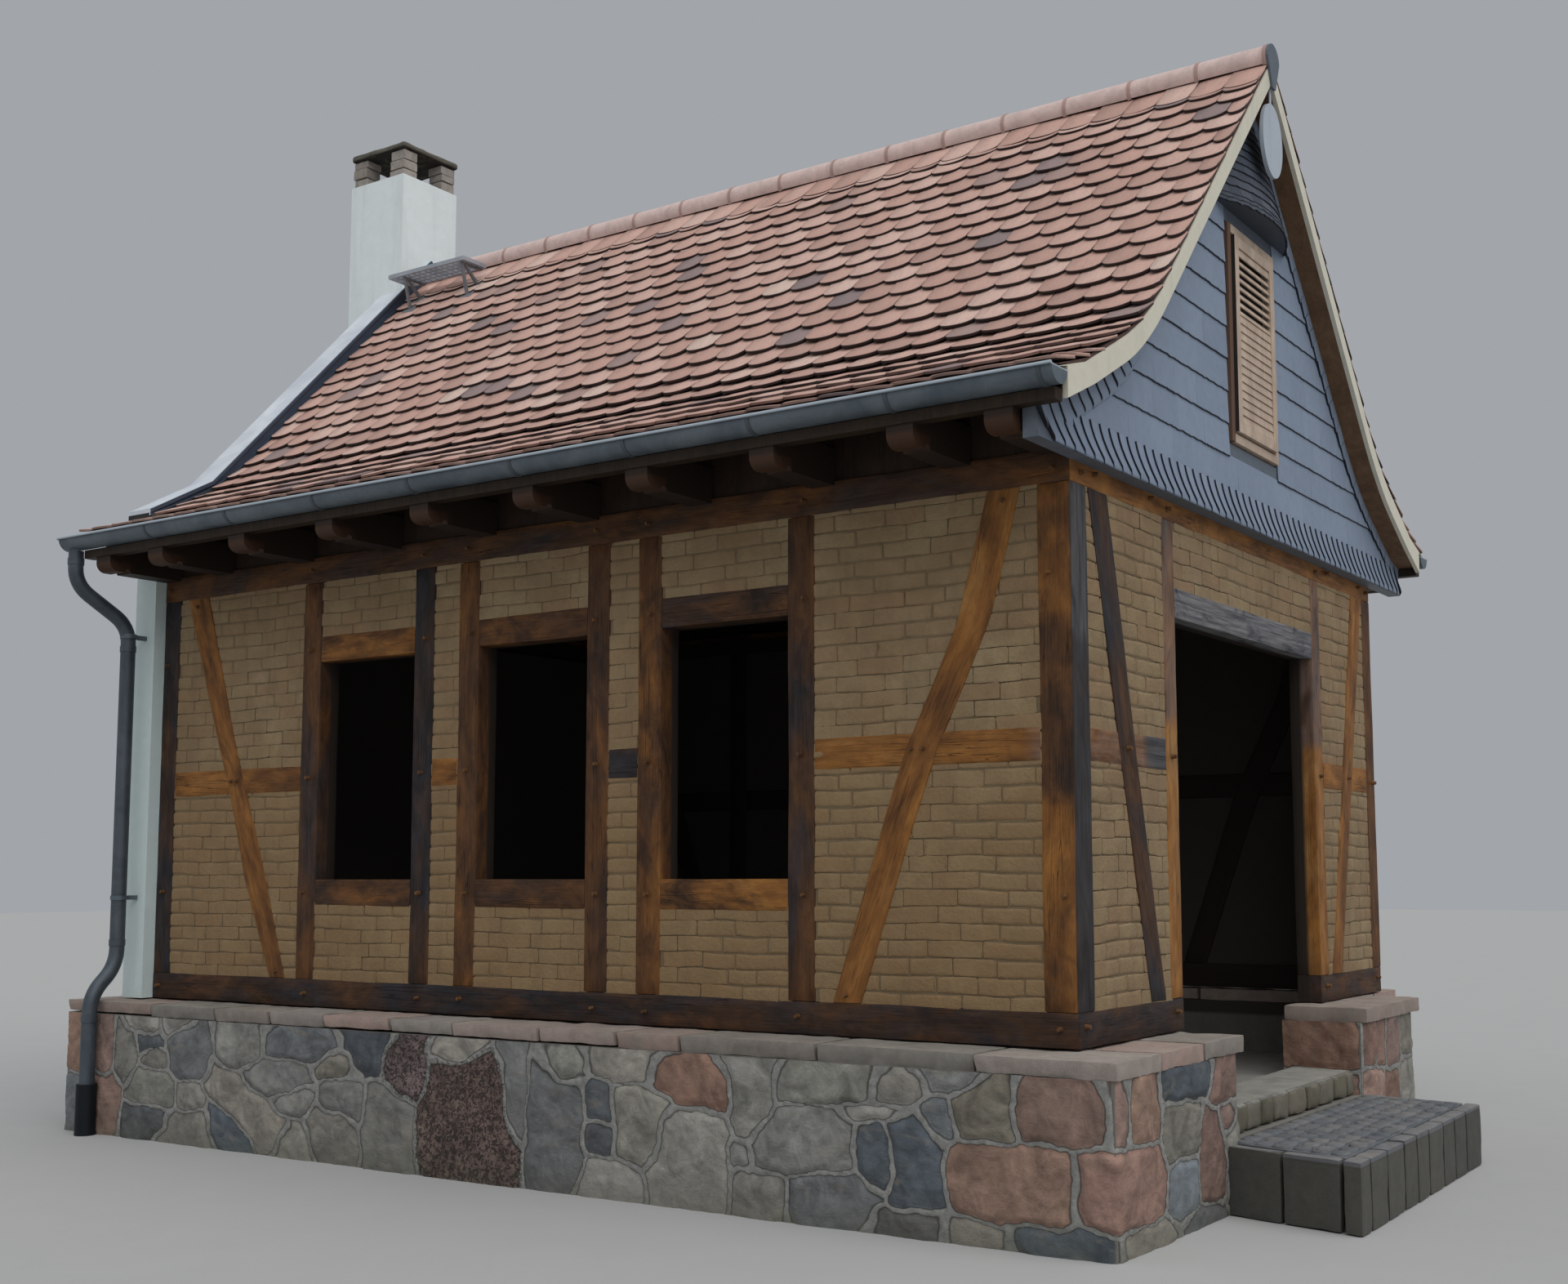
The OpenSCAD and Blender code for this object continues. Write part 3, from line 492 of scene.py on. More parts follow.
def zinc_material(name, dark, light, bands=()):
    """Rolled zinc, weathered blue grey with pale blooms."""
    made, tree = new_material(name)
    coords = place_in(tree)
    bloom = grain_noise(coords, 3.5, 6, 0.65, 0.8)
    fine = grain_noise(coords, 60.0, 3, 0.6)
    base = blend(between(bloom, 0.38, 0.65), dark, light)
    base = blend(between(fine, 0.45, 0.75, 0.0, 0.25), base, dark)
    base = painted_bands(coords, base, bands)
    finish_material(base, between(bloom, 0.35, 0.7, 0.42, 0.62), fine, 0.0002, metal=0.35)
    return made


def clay_brick_material():
    """Bricks under a thin wash of clay: khaki, the brick's own tone showing a little."""
    made, tree = new_material("clay washed brick")
    coords = place_in(tree)
    tone = value_of(tree, "tone")
    broad = grain_noise(coords, 1.3, 4, 0.6, 0.6)
    fine = grain_noise(coords, 45.0, 5, 0.7)
    cloud = grain_noise(coords, 7.0, 4, 0.6, 0.4)
    base = blend(between(broad, 0.36, 0.66), (0.264, 0.180, 0.092), (0.342, 0.256, 0.142))
    base = blend(between(tone, 0.35, 1.0, 0.0, 0.6), base, (0.285, 0.165, 0.085))
    base = blend(between(cloud, 0.38, 0.66, 0.45, 0.0), base, (0.175, 0.118, 0.062))
    base = blend(between(fine, 0.35, 0.7, 0.25, 0.0), base, (0.15, 0.10, 0.055))
    spot = parts_of(coords)
    warm = times(between(spot["Y"], -2.0, -2.05), between(spot["Z"], 1.8, 2.3, 0.34, 0.08))
    base = blend(warm, base, (0.225, 0.125, 0.045))
    # painted shade, with some dirt, in the joints that the wash leaves open, darkest under each brick's lower
    # edge
    open_joint_shade = between(grain_noise(coords, 7.0, 5, 0.75, 0.8), 0.50, 0.62, 0.10, 1.0)
    open_joint_shade = times(between(value_of(tree, "joint"), 0.3, 0.95), open_joint_shade)
    base = blend(times(open_joint_shade, 0.85), base, (0.050, 0.030, 0.016))
    worn = use_group(WEATHER, Place=coords, Color=base, Dust=0.15, Dust_color=(0.36, 0.29, 0.19),
                     Soiling=0.16)
    height = plus(fine, times(cloud, 1.2))
    finish_material(worn["Color"], 0.93, height, 0.006)
    return made


def rubble_material():
    """Stones of the plinth and the raised joints between them; kind and edge come from the mesh."""
    made, tree = new_material("rubble stone")
    place = value_of(tree, "place", vector=True)
    tint = value_of(tree, "tint", vector=True)
    edge = value_of(tree, "edge")
    pores = value_of(tree, "pores")
    coarse = grain_noise(place, 7.0, 6, 0.65, 0.8)
    fine = grain_noise(place, 130.0, 3, 0.65)
    cloud = between(coarse, 0.32, 0.7, 0.60, 1.45)
    grey = grey_of(cloud)
    stone = blend(1.0, tint, grey, "MULTIPLY")
    stone = blend(between(fine, 0.3, 0.75, 0.25, 0.0), stone, (0.03, 0.03, 0.03))
    vein = grain_noise(stretched(place, 2.2, 2.2, 5.0), 1.6, 5, 0.6, 1.6)
    stone = blend(between(vein, 0.56, 0.7, 0.0, 0.25), stone, (0.30, 0.24, 0.17))
    pit = grain_noise(place, 42.0, 4, 0.7, 1.2)
    hole = times(between(pit, 0.50, 0.38), pores)
    stone = blend(times(hole, 0.8), stone, (0.022, 0.014, 0.012))
    ribbon = between(edge, 0.0120, 0.0095)
    # painted shadow: a thin dark line where the stone meets the raised mortar
    line = times(between(edge, 0.0085, 0.0112), between(edge, 0.0165, 0.0128))
    mortar = blend(between(grain_noise(place, 25.0, 5, 0.65), 0.35, 0.7), (0.175, 0.174, 0.162),
                   (0.300, 0.296, 0.276))
    base = blend(ribbon, stone, mortar)
    base = blend(times(line, 0.75), base, (0.035, 0.032, 0.03))
    low = parts_of(place)["Z"]
    damp = times(between(low, 0.16, 0.0), between(coarse, 0.35, 0.6))
    base = blend(times(damp, 0.55), base, (0.075, 0.075, 0.045))
    cleft = grain_noise(stretched(place, 14, 14, 22), 1.0, 5, 0.55, 0.9)
    height = plus(times(fine, 0.3), times(coarse, 1.6))
    height = plus(height, times(cleft, 1.2))
    height = minus(height, times(hole, 3.0))
    finish_material(base, 0.88, height, 0.005)
    return made


def tinted_material(name, stops, grain=0.003, contrast=0.25, relief=0.0015, rough=0.85, dust=0.15,
                    soiling=0.1,
                    patch=(0, 0, 0), patch_share=0.0, tail=(0.02, 0.015, 0.012), shine=0.5, low_edge=-1.0):
    """Small like pieces, whose tone from 0 to 1 picks a colour from stops; place is each piece's own.
    Points with a tail value get painted shade, with some dirt on the tiles, fully above the height low_edge
    and less below it."""
    made, tree = new_material(name)
    place = value_of(tree, "place", vector=True)
    tone = value_of(tree, "tone")
    far = vector_of(times(tone, 91.0), times(value_of(tree, "tint"), 57.0))
    shifted = put(tree, "ShaderNodeVectorMath", {"operation": "ADD"}, i0=place, i1=far).outputs[0]
    cloud = grain_noise(shifted, 9.0, 5, 0.6, 0.8)
    base = blend(between(cloud, 0.52, 0.7, 0.0, patch_share), ramp(tone, stops), patch)
    stone = use_group(SPECKLE, Place=shifted, Color=base, Grain_size=grain, Contrast=contrast)
    coords = place_in(tree)
    worn = use_group(WEATHER, Place=coords, Color=stone["Color"], Dust=dust, Soiling=soiling)
    # the painted shade at the edges grows paler low on the roof, where they are seen from the side
    height = parts_of(coords)["Z"]
    dark = times(between(value_of(tree, "tail"), 0.05, 0.6),
                 between(height, low_edge, low_edge + 0.2, 0.45, 1.0))
    base = blend(dark, worn["Color"], tail)
    finish_material(base, rough, stone["Height"], relief, shine=shine)
    return made


# laid courses: one geometry tree lays bricks, tiles and setts
def make_laid_courses():
    """Bricks, tiles or setts laid course by course up a line, cut off at both ends of each course."""
    tree = bpy.data.node_groups.new("laid courses", "GeometryNodeTree")
    given = group_inputs(tree, (
        ("Geometry", "Geometry", None), ("Line", "Object", None), ("Pieces", "Collection", None),
        ("Finish", "Material", None), ("Across", "Vector", (1, 0, 0)), ("Run", "Float", 1.0),
        ("Height", "Float", 1.0), ("Piece length", "Float", 0.2), ("Gauge", "Float", 0.1),
        ("Gap", "Float", 0.0), ("Bond", "Float", 0.5), ("Wander", "Float", 0.0), ("Tilt", "Float", 0.0),
        ("Length change", "Float", 0.0), ("Seed", "Int", 1),
    ))
    tree.interface.new_socket("Geometry", in_out="OUTPUT", socket_type="NodeSocketGeometry")

    def chance(low, high, shift, kind="FLOAT", number=None):
        node = put(tree, "FunctionNodeRandomValue", {"data_type": kind}, Seed=plus(given["Seed"], shift))
        if number is not None:
            feed(node.inputs["ID"], number)
        first = {"FLOAT": 2, "FLOAT_VECTOR": 0, "INT": 4}[kind]
        feed(node.inputs[first], low)
        feed(node.inputs[first + 1], high)
        return node.outputs[{"FLOAT": 1, "FLOAT_VECTOR": 0, "INT": 2}[kind]]

    def within_run(value):
        return sums("MINIMUM", sums("MAXIMUM", value, 0.0), given["Run"])

    courses = sums("CEIL", minus(sums("DIVIDE", given["Height"], given["Gauge"]), 0.12))
    columns = plus(sums("CEIL", sums("DIVIDE", given["Run"], given["Piece length"])), 1.0)
    points = put(tree, "GeometryNodePoints", None, Count=times(courses, columns))
    index = put(tree, "GeometryNodeInputIndex").outputs[0]
    row = sums("FLOOR", sums("DIVIDE", plus(index, 0.5), columns))
    column = minus(index, times(row, columns))
    odd = sums("FLOORED_MODULO", row, 2.0)
    start = times(minus(column, times(odd, given["Bond"])), given["Piece length"])
    # each upright joint is moved by a chance of its own, the same for the pieces on both sides of it
    back_and_forth = times(given["Length change"], -1.0)
    left = plus(start, chance(back_and_forth, given["Length change"], 11, number=index))
    right = plus(start, chance(back_and_forth, given["Length change"], 11, number=plus(index, 1.0)))
    right = minus(plus(right, given["Piece length"]), given["Gap"])
    left, right = within_run(left), within_run(right)
    width = minus(right, left)
    low = times(row, given["Gauge"])
    high = sums("MINIMUM", plus(low, given["Gauge"]), given["Height"])
    curve = put(tree, "GeometryNodeObjectInfo", None, Object=given["Line"]).outputs["Geometry"]
    wander = chance(0.0, given["Wander"], 3)
    sample = put(tree, "GeometryNodeSampleCurve", {"mode": "LENGTH", "use_all_curves": True},
                 Curves=curve, Length=plus(low, wander))
    along = put(tree, "ShaderNodeVectorMath", {"operation": "SCALE"}, i0=given["Across"],
                Scale=times(plus(left, right), 0.5)).outputs[0]
    spot = put(tree, "ShaderNodeVectorMath", {"operation": "ADD"}, i0=sample.outputs["Position"], i1=along)
    turn = put(tree, "FunctionNodeAxesToRotation", {"primary_axis": "Y", "secondary_axis": "X"},
               i0=sample.outputs["Tangent"], i1=given["Across"]).outputs[0]
    tilt = given["Tilt"]
    sway = times(tilt, -1.0)
    spin = chance(vector_of(sway, sway, sway), vector_of(tilt, tilt, tilt), 5, "FLOAT_VECTOR")
    spun = put(tree, "FunctionNodeEulerToRotation", None, i0=spin).outputs[0]
    turn = put(tree, "FunctionNodeRotateRotation", {"rotation_space": "LOCAL"}, i0=turn, i1=spun).outputs[0]
    size = vector_of(width, sums("DIVIDE", minus(high, low), given["Gauge"]), 1.0)
    marked = put(tree, "GeometryNodeSetPosition", None, Geometry=points.outputs[0],
                 Position=spot.outputs[0]).outputs[0]
    for label, kind, value in (
        ("spin", "QUATERNION", turn), ("size", "FLOAT_VECTOR", size),
        ("tone", "FLOAT", chance(0.0, 1.0, 7)), ("tint", "FLOAT", chance(0.0, 1.0, 9)),
    ):
        marked = put(tree, "GeometryNodeStoreNamedAttribute", {"data_type": kind, "domain": "POINT"},
                     Geometry=marked, Name=label, Value=value).outputs[0]
    thin = put(tree, "FunctionNodeCompare", {"data_type": "FLOAT", "operation": "LESS_THAN"}, i0=width,
               i1=times(given["Piece length"], 0.13)).outputs[0]
    kept = put(tree, "GeometryNodeDeleteGeometry", {"domain": "POINT"}, Geometry=marked,
               Selection=thin).outputs[0]
    pieces = put(tree, "GeometryNodeCollectionInfo", None, Collection=given["Pieces"],
                 Separate_Children=True, Reset_Children=True).outputs[0]
    count = put(tree, "GeometryNodeAttributeDomainSize", {"component": "INSTANCES"}, Geometry=pieces)
    last = minus(count.outputs["Instance Count"], 1.0)
    spin_back = put(tree, "GeometryNodeInputNamedAttribute", {"data_type": "QUATERNION"},
                    Name="spin").outputs[0]
    size_back = put(tree, "GeometryNodeInputNamedAttribute", {"data_type": "FLOAT_VECTOR"},
                    Name="size").outputs[0]
    laid = put(tree, "GeometryNodeInstanceOnPoints", None, Points=kept, Instance=pieces, Pick_Instance=True,
               Instance_Index=chance(0, last, 13, "INT"), Rotation=spin_back, Scale=size_back).outputs[0]
    real = put(tree, "GeometryNodeRealizeInstances", None, Geometry=laid).outputs[0]
    done = put(tree, "GeometryNodeSetMaterial", None, Geometry=real, Material=given["Finish"]).outputs[0]
    tree.links.new(done, put(tree, "NodeGroupOutput").inputs[0])
    return tree


LAID_COURSES = make_laid_courses()


def line_object(points):
    """A straight-sided curve through the points, for one evaluation."""
    curve = bpy.data.curves.new("line", "CURVE")
    curve.dimensions = "3D"
    spline = curve.splines.new("POLY")
    spline.points.add(len(points) - 1)
    for spot, point in zip(spline.points, points):
        spot.co = (*point, 1.0)
    made = bpy.data.objects.new("line", curve)
    bpy.context.scene.collection.objects.link(made)
    return made


def grow(holder, tree, values):
    """Runs a geometry tree on the holder, which keeps the finished plain mesh."""
    modifier = holder.modifiers.new("grown", "NODES")
    modifier.node_group = tree
    for item in tree.interface.items_tree:
        if item.in_out == "INPUT" and item.name in values:
            modifier[item.identifier] = values[item.name]
    graph = bpy.context.evaluated_depsgraph_get()
    mesh = bpy.data.meshes.new_from_object(holder.evaluated_get(graph))
    holder.modifiers.clear()
    holder.data = mesh


def lay_courses(name, variants, line, material, smooth_angle=35.0, **sizes):
    """Lays one of the variants at a time along the line, and returns the finished plain mesh object."""
    group = bpy.data.collections.new(name + " pieces")
    bpy.context.scene.collection.children.link(group)
    made = []
    for number, (points, faces, *values) in enumerate(variants):
        piece = make_object(f"{name} piece {number}", points, faces, None, smooth_angle,
                            place=np.array(points),
                            **(values[0] if values else {}))
        bpy.context.scene.collection.objects.unlink(piece)
        group.objects.link(piece)
        made.append(piece)
    path = line_object(line)
    holder = bpy.data.objects.new(name.replace(" ", "_"), bpy.data.meshes.new(name))
    bpy.context.scene.collection.objects.link(holder)
    values = {"Line": path, "Pieces": group, "Finish": material}
    values.update({key.replace("_", " "): value for key, value in sizes.items()})
    grow(holder, LAID_COURSES, values)
    holder.data.name = name
    for piece in made + [path]:
        bpy.data.objects.remove(piece)
    bpy.data.collections.remove(group)
    return holder


def join_objects(name, parts):
    """Several mesh objects made into the first one."""
    for o in bpy.context.selected_objects:
        o.select_set(False)
    for o in parts:
        o.select_set(True)
    bpy.context.view_layer.objects.active = parts[0]
    bpy.ops.object.join()
    parts[0].name = parts[0].data.name = name.replace(" ", "_")
    return parts[0]


# timbers
CORNERS = ((1, 1), (-1, 1), (-1, -1), (1, -1))


def timber_outline(side, depth, radii):
    """Outline of a timber's section: three points round each edge and three along each face."""
    outline = []
    for corner, (u, v) in enumerate(CORNERS):
        r = radii[corner]
        for step in range(3):
            a = math.radians(45 * step)
            first, second = (math.sin(a), math.cos(a)) if corner % 2 else (math.cos(a), math.sin(a))
            outline.append((u * (side - r + r * first), v * (depth - r + r * second)))
        u1, v1 = CORNERS[(corner + 1) % 4]
        x, y = (side, depth - r) if corner % 2 else (side - r, depth)
        for f in (0.25, 0.5, 0.75):
            outline.append((x * (u + (u1 - u) * f), y * (v + (v1 - v) * f)))
    return outline


def timber(heap, rng, stations, tone, stain, arris=0.007, grey=0.0):
    """A hewn timber. stations: (centre, half side vector, half depth vector) from one end to the other."""
    length = (Vector(stations[-1][0]) - Vector(stations[0][0])).length
    count = max(3, int(length / 0.075) + 1)
    crisp = 0.003  # length of the crisp piece at each end
    runs = [0.0] + [crisp + (length - 2 * crisp) * k / (count - 1) for k in range(count)] + [length]
    shift = Vector((rng.uniform(-40, 40), rng.uniform(-40, 40), rng.uniform(-40, 40)))
    points, places = [], []
    for run in runs:
        t = run / length * (len(stations) - 1)
        k = min(int(t), len(stations) - 2)
        centre, side, depth = (Vector(a).lerp(Vector(b), t - k) for a,
                               b in zip(stations[k], stations[k + 1]))
        pull = 1.0 - 0.002 / min(side.length, depth.length) if run in (0.0, length) else 1.0
        radii = [arris * (1.0 + 0.7 * noise.noise(Vector((run * 2.1, corner * 7.3, 0)) + shift))
                 for corner in range(4)]
        for x, y in timber_outline(side.length, depth.length, radii):
            away = side.normalized() * x + depth.normalized() * y
            wave = noise.noise(Vector((run * 1.9, x * 6.0, y * 6.0)) + shift)
            fine = noise.noise(Vector((run * 8.0, x * 30.0, y * 30.0)) + shift)
            points.append(centre + away * pull + away.normalized() * (0.0025 * wave + 0.0012 * fine - 0.0008))
            places.append((x + shift.x, y + shift.y, run + shift.z))
    ring = len(points) // len(runs)
    faces = band_faces(ring, len(runs) - 1)
    for first, run in ((0, 0.0), ((len(runs) - 1) * ring, length)):
        points.append(sum(points[first:first + ring], Vector()) / ring)
        places.append((shift.x, shift.y, run + shift.z))
        for j in range(ring):
            a, b = first + j, first + (j + 1) % ring
            faces.append((a, b, len(points) - 1) if first else (b, a, len(points) - 1))
    heap.add(points, faces, place=places, tone=tone, stain=stain, grey=grey)


def straight(low, high):
    """Stations of a straight timber that fills a box, running along the box's longest side."""
    low, high = Vector(low), Vector(high)
    size = high - low
    axis = max(range(3), key=lambda k: size[k])
    side, depth = [k for k in range(3) if k != axis]
    if axis == 1:
        side, depth = depth, side
    first, last = (low + high) / 2, (low + high) / 2
    first[axis], last[axis] = low[axis], high[axis]
    u, v = Vector(), Vector()
    u[side], v[depth] = size[side] / 2, size[depth] / 2
    if u.cross(v).dot(last - first) < 0:
        v = -v
    return [(first, u, v), (last, u, v)]


def slanted(points):
    """Stations of a brace from its corner points: the two slanting edges are followed by height."""
    across = 0 if np.ptp(points[:, 1]) < 0.2 else 1
    flat = points[:, across]
    z = points[:, 2]
    heights = np.linspace(z.min(), z.max(), 9)
    foot, head = flat[z < z.min() + 1e-4], flat[z > z.max() - 1e-4]
    lean = (head.mean() - foot.mean()) / (z.max() - z.min())
    offset = flat - lean * (z - z.min())
    middle = (foot.mean() + head.mean() - lean * (z.max() - z.min())) / 2
    left, right = offset < middle, offset >= middle
    stations = []
    for h in heights:
        edges = []
        for pick in (left, right):
            order = np.argsort(z[pick])
            edges.append(np.interp(h, z[pick][order], flat[pick][order]))
        centre = Vector((0, 0, h))
        centre[across] = sum(edges) / 2
        other = 1 - across
        centre[other] = (points[:, other].min() + points[:, other].max()) / 2
        u, v = Vector(), Vector()
        u[across] = abs(edges[1] - edges[0]) / 2
        v[other] = TIMBER / 2 + 0.003
        if u.cross(v).z < 0:
            v = -v
        stations.append((centre, u, v))
    return stations


def timber_tone(low, high, rng):
    """Tone and stain share of one timber, after the wall it stands in and its place there."""
    x, y = (low[0] + high[0]) / 2, (low[1] + high[1]) / 2
    if y < AT_FRONT and x < AT_GABLE:
        return rng.uniform(0.34, 0.46), rng.uniform(0.25, 0.45)
    if x > AT_GABLE and abs(y) < 1.95:
        return rng.uniform(0.7, 0.85), rng.uniform(0.1, 0.3)
    return rng.uniform(0.35, 0.6), rng.uniform(0.2, 0.4)


def darken_gable(mesh, node):
    """The corner post is blue black towards the gable and darker half way up. The short rail and the heads
    of the door posts are grey in part."""
    tone, grey, stain = (mesh.attributes[name].data for name in ("tone", "grey", "stain"))
    for vertex in mesh.vertices:
        x, y, z = vertex.co
        k = vertex.index
        if node == "corner_posts" and x > AT_GABLE and y < 0:
            if x > GABLE - 0.0045:
                tone[k].value, stain[k].value, grey[k].value = 0.0, 0.7, 0.30 if z > 2.5 else 0.10
            else:
                tone[k].value = 0.60 if z > 2.56 else (0.30 if z > 1.80 else 0.56)
        elif node == "door_posts" and z > 2.2:
            tone[k].value, grey[k].value = 0.48, 0.30
        elif node == "mid_rails" and x > AT_GABLE and y < -1.1:
            if y > -1.36:
                tone[k].value, grey[k].value = 0.02, 0.30
            else:
                tone[k].value, grey[k].value = 0.62, 0.25


def build_posts_and_rails(oak, rng):
    posts = (0.30, 0.10, 0.42, 0.34, 0.46, 0.26)  # tones of the front wall's posts from left to right
    lower = (0.34, 0.28, 0.66)  # tones of the rails under the windows
    upper = (0.55, 0.36, 0.30)  # tones of the rails over them
    for node in ("corner_posts", "wall_posts", "door_posts", "window_rails", "mid_rails"):
        heap = Heap()
        for low, high in boxes(node):
            tone, stain = timber_tone(low, high, rng)
            middle = (low[0] + high[0]) / 2
            if node == "wall_posts" and low[1] < 0:
                tone = posts[sum(middle > x for x in (-1.3, -0.6, 0.0, 0.6, 1.2))]
            if node == "window_rails":
                row = lower if low[2] < 2 else upper
                tone, stain = row[sum(middle > x for x in (-0.6, 0.6))], 0.5
            if node == "mid_rails":
                tone, stain = (0.12 if 0.5 < middle < 0.8 else rng.uniform(0.58, 0.72)), 0.25
            if node == "corner_posts":
                tone, stain = (0.42 if low[0] > 0 else 0.14), 0.4
            timber(heap, rng, straight(low, high), tone, stain)
        made = heap.build("hewn " + node.replace("_", " "), oak)
        if node in ("corner_posts", "mid_rails", "door_posts"):
            darken_gable(made.data, node)
        settle(made, "oak_timber", node)


def build_braces(oak, rng):
    heap = Heap()
    for points in solids("braces"):
        gable = points[:, 0].min() > AT_GABLE
        if points[:, 1].max() < AT_FRONT:
            tone = 0.60 if points[:, 0].max() < 0 else 0.72
        else:
            tone = 0.14 if gable and points[:, 1].max() < 0 else 0.60
        timber(heap, rng, slanted(points), tone, 0.3, arris=0.006)
    settle(heap.build("hewn braces", oak), "oak_timber", "braces")


def build_beams(oak, rng):
    """Lintel, sills and plates; the beams of the long walls end just short of the gable's face."""
    heap = Heap()
    for low, high in boxes("door_lintel"):
        timber(heap, rng, straight(low, high), 0.1, 0.6, grey=0.85)
    settle(heap.build("lintel", oak), "oak_timber", "door_lintel")
    edge = 0.004
    end, inner = GABLE - edge, GABLE - TIMBER
    for name, node, foot, top, stain, beams in (
        ("sills", "sill_beams", SILL_FOOT, SILL_TOP, 0.4, (
            (CHIMNEY_END, FRONT, end, FRONT + TIMBER, 0.16), (CHIMNEY_END, BACK - TIMBER, end, BACK, 0.35),
            (inner, FRONT + edge, GABLE, -0.985, 0.16), (inner, 0.980, GABLE, BACK - edge, 0.2))),
        ("plates", "wall_plates", PLATE_FOOT, PLATE_TOP, 0.3, (
            (CHIMNEY_END, FRONT, end, FRONT + TIMBER, 0.3), (CHIMNEY_END, BACK - TIMBER, end, BACK, 0.4),
            (inner, FRONT + edge, GABLE, BACK - edge, 0.62),
            (CHIMNEY_END, FRONT + 0.1, CHIMNEY_END + TIMBER, BACK - 0.1, 0.4))),
    ):
        heap = Heap()
        for x0, y0, x1, y1, tone in beams:
            timber(heap, rng, straight((x0, y0, foot), (x1, y1, top)), tone, stain)
        settle(heap.build(name, oak), "oak_timber", node)


def build_timbers(oak):
    rng = random.Random(5)
    build_posts_and_rails(oak, rng)
    build_braces(oak, rng)
    build_beams(oak, rng)


# brick panels
def brick_shapes():
    """Bricks with soft uneven outlines, one unit long, their backs open. joint says how near the joint
    a point is."""
    rng = random.Random(21)
    shapes = []
    sides, corner = (5, 1, 5, 1), 0.0085
    for _ in range(6):
        half, tall = BRICK / 2, COURSE / 2
        outline = []
        for side in range(4):
            u, v = ((1, 0), (0, 1), (-1, 0), (0, -1))[side]
            long, away = (half, tall) if side % 2 == 0 else (tall, half)
            count = sides[side] + 1
            spots = [-long + 2 * long * k / count for k in range(1, count)]
            for k in [-long + corner] + spots + [long - corner]:
                outline.append((u * k + v * away, v * k - u * away, v, -u))
        n = len(outline)
        wave = [rng.uniform(-0.0016, 0.0016) for _ in range(n)]
        points, joint = [], []
        for inset, height, near in ((0.0020, -0.0075, 1.0), (0.0032, -0.0020, 0.9), (0.0068, 0.0016, 0.15),
                                    (0.0170, 0.0030, 0.0)):
            for (x, y, out_x, out_y), w in zip(outline, wave):
                back = inset + (w if height < 0.001 else 0.0)
                rise = height + rng.uniform(-0.0003, 0.0003)
                points.append(((x - out_x * back) / BRICK, y - out_y * back + tall, rise))
                # the joint value is highest along the lower edge, where the painted shade in the open joints
                # is darkest
                joint.append(near * (0.55 if out_y > 0 else (1.0 if out_y < 0 else 0.8)))
        faces = band_faces(n, 3)
        # the innermost ring is closed by a row of upright faces, which stay flat when the courses wander
        top = 3 * n
        foot = [top + j for j in range(sides[0] + 2)]
        head = [top + 10 + j for j in range(sides[0] + 2)][::-1]
        faces += [(foot[j], foot[j + 1], head[j + 1], head[j]) for j in range(sides[0] + 1)]
        faces.append((foot[-1], top + 7, top + 8, top + 9, head[-1]))
        faces.append((head[0], top + 17, top + 18, top + 19, foot[0]))
        shapes.append((points, faces, {"joint": joint}))
    return shapes


def brick_panel(parts, corner, across, run, height, finish, seed):
    """One panel of bricks; corner is its lower left corner as seen from outside."""
    top = Vector(corner) + Vector((0, 0, height + 0.3))
    parts.append(lay_courses(
        "bricks", brick_shapes(), [corner, top], finish, 50.0, Across=across, Run=run, Height=height,
        Piece_length=BRICK, Gauge=COURSE, Gap=0.0, Bond=0.46, Wander=0.004, Tilt=0.014, Length_change=0.042,
        Seed=seed))


def build_bricks(finish):
    front = FRONT + INFILL_BACK
    gable = GABLE - INFILL_BACK
    hidden = 0.02  # the bricks run this far behind the timbers
    full = (SILL_TOP, PLATE_FOOT)
    window = ((SILL_TOP, 1.324), (2.837, PLATE_FOOT))
    bays = [(-2.858, -1.734, (full,)), (-1.584, -0.832, window), (-0.682, -0.498, (full,)),
            (-0.348, 0.404, window), (0.554, 0.738, (full,)), (0.888, 1.640, window),
            (1.790, 2.942, (full,))]
    parts = []
    for k, (x0, x1, spans) in enumerate(bays):
        for j, (z0, z1) in enumerate(spans):
            brick_panel(parts, (x0 - hidden, front, z0 - hidden), (1, 0, 0), x1 - x0 + 2 * hidden,
                        z1 - z0 + 2 * hidden, finish, 10 + 3 * k + j)
    for k, (y0, y1, z0) in enumerate(((-1.930, -1.126, SILL_TOP), (-0.985, 0.980, 2.837),
                                      (1.121, 1.930, SILL_TOP))):
        brick_panel(parts, (gable, y0 - hidden, z0 - hidden), (0, 1, 0), y1 - y0 + 2 * hidden,
                    PLATE_FOOT - z0 + 2 * hidden, finish, 50 + k)
    seen = len(parts)
    for k, (x0, x1, _) in enumerate(bays):
        brick_panel(parts, (x1 + hidden, -front, SILL_TOP - hidden), (-1, 0, 0), x1 - x0 + 2 * hidden,
                    PLATE_FOOT - SILL_TOP + 2 * hidden, finish, 70 + k)
    for name, some in (("clay washed bricks", parts[:seen]), ("clay washed bricks behind", parts[seen:])):
        settle(smear_bricks(join_objects(name, some)), "clay_brick")


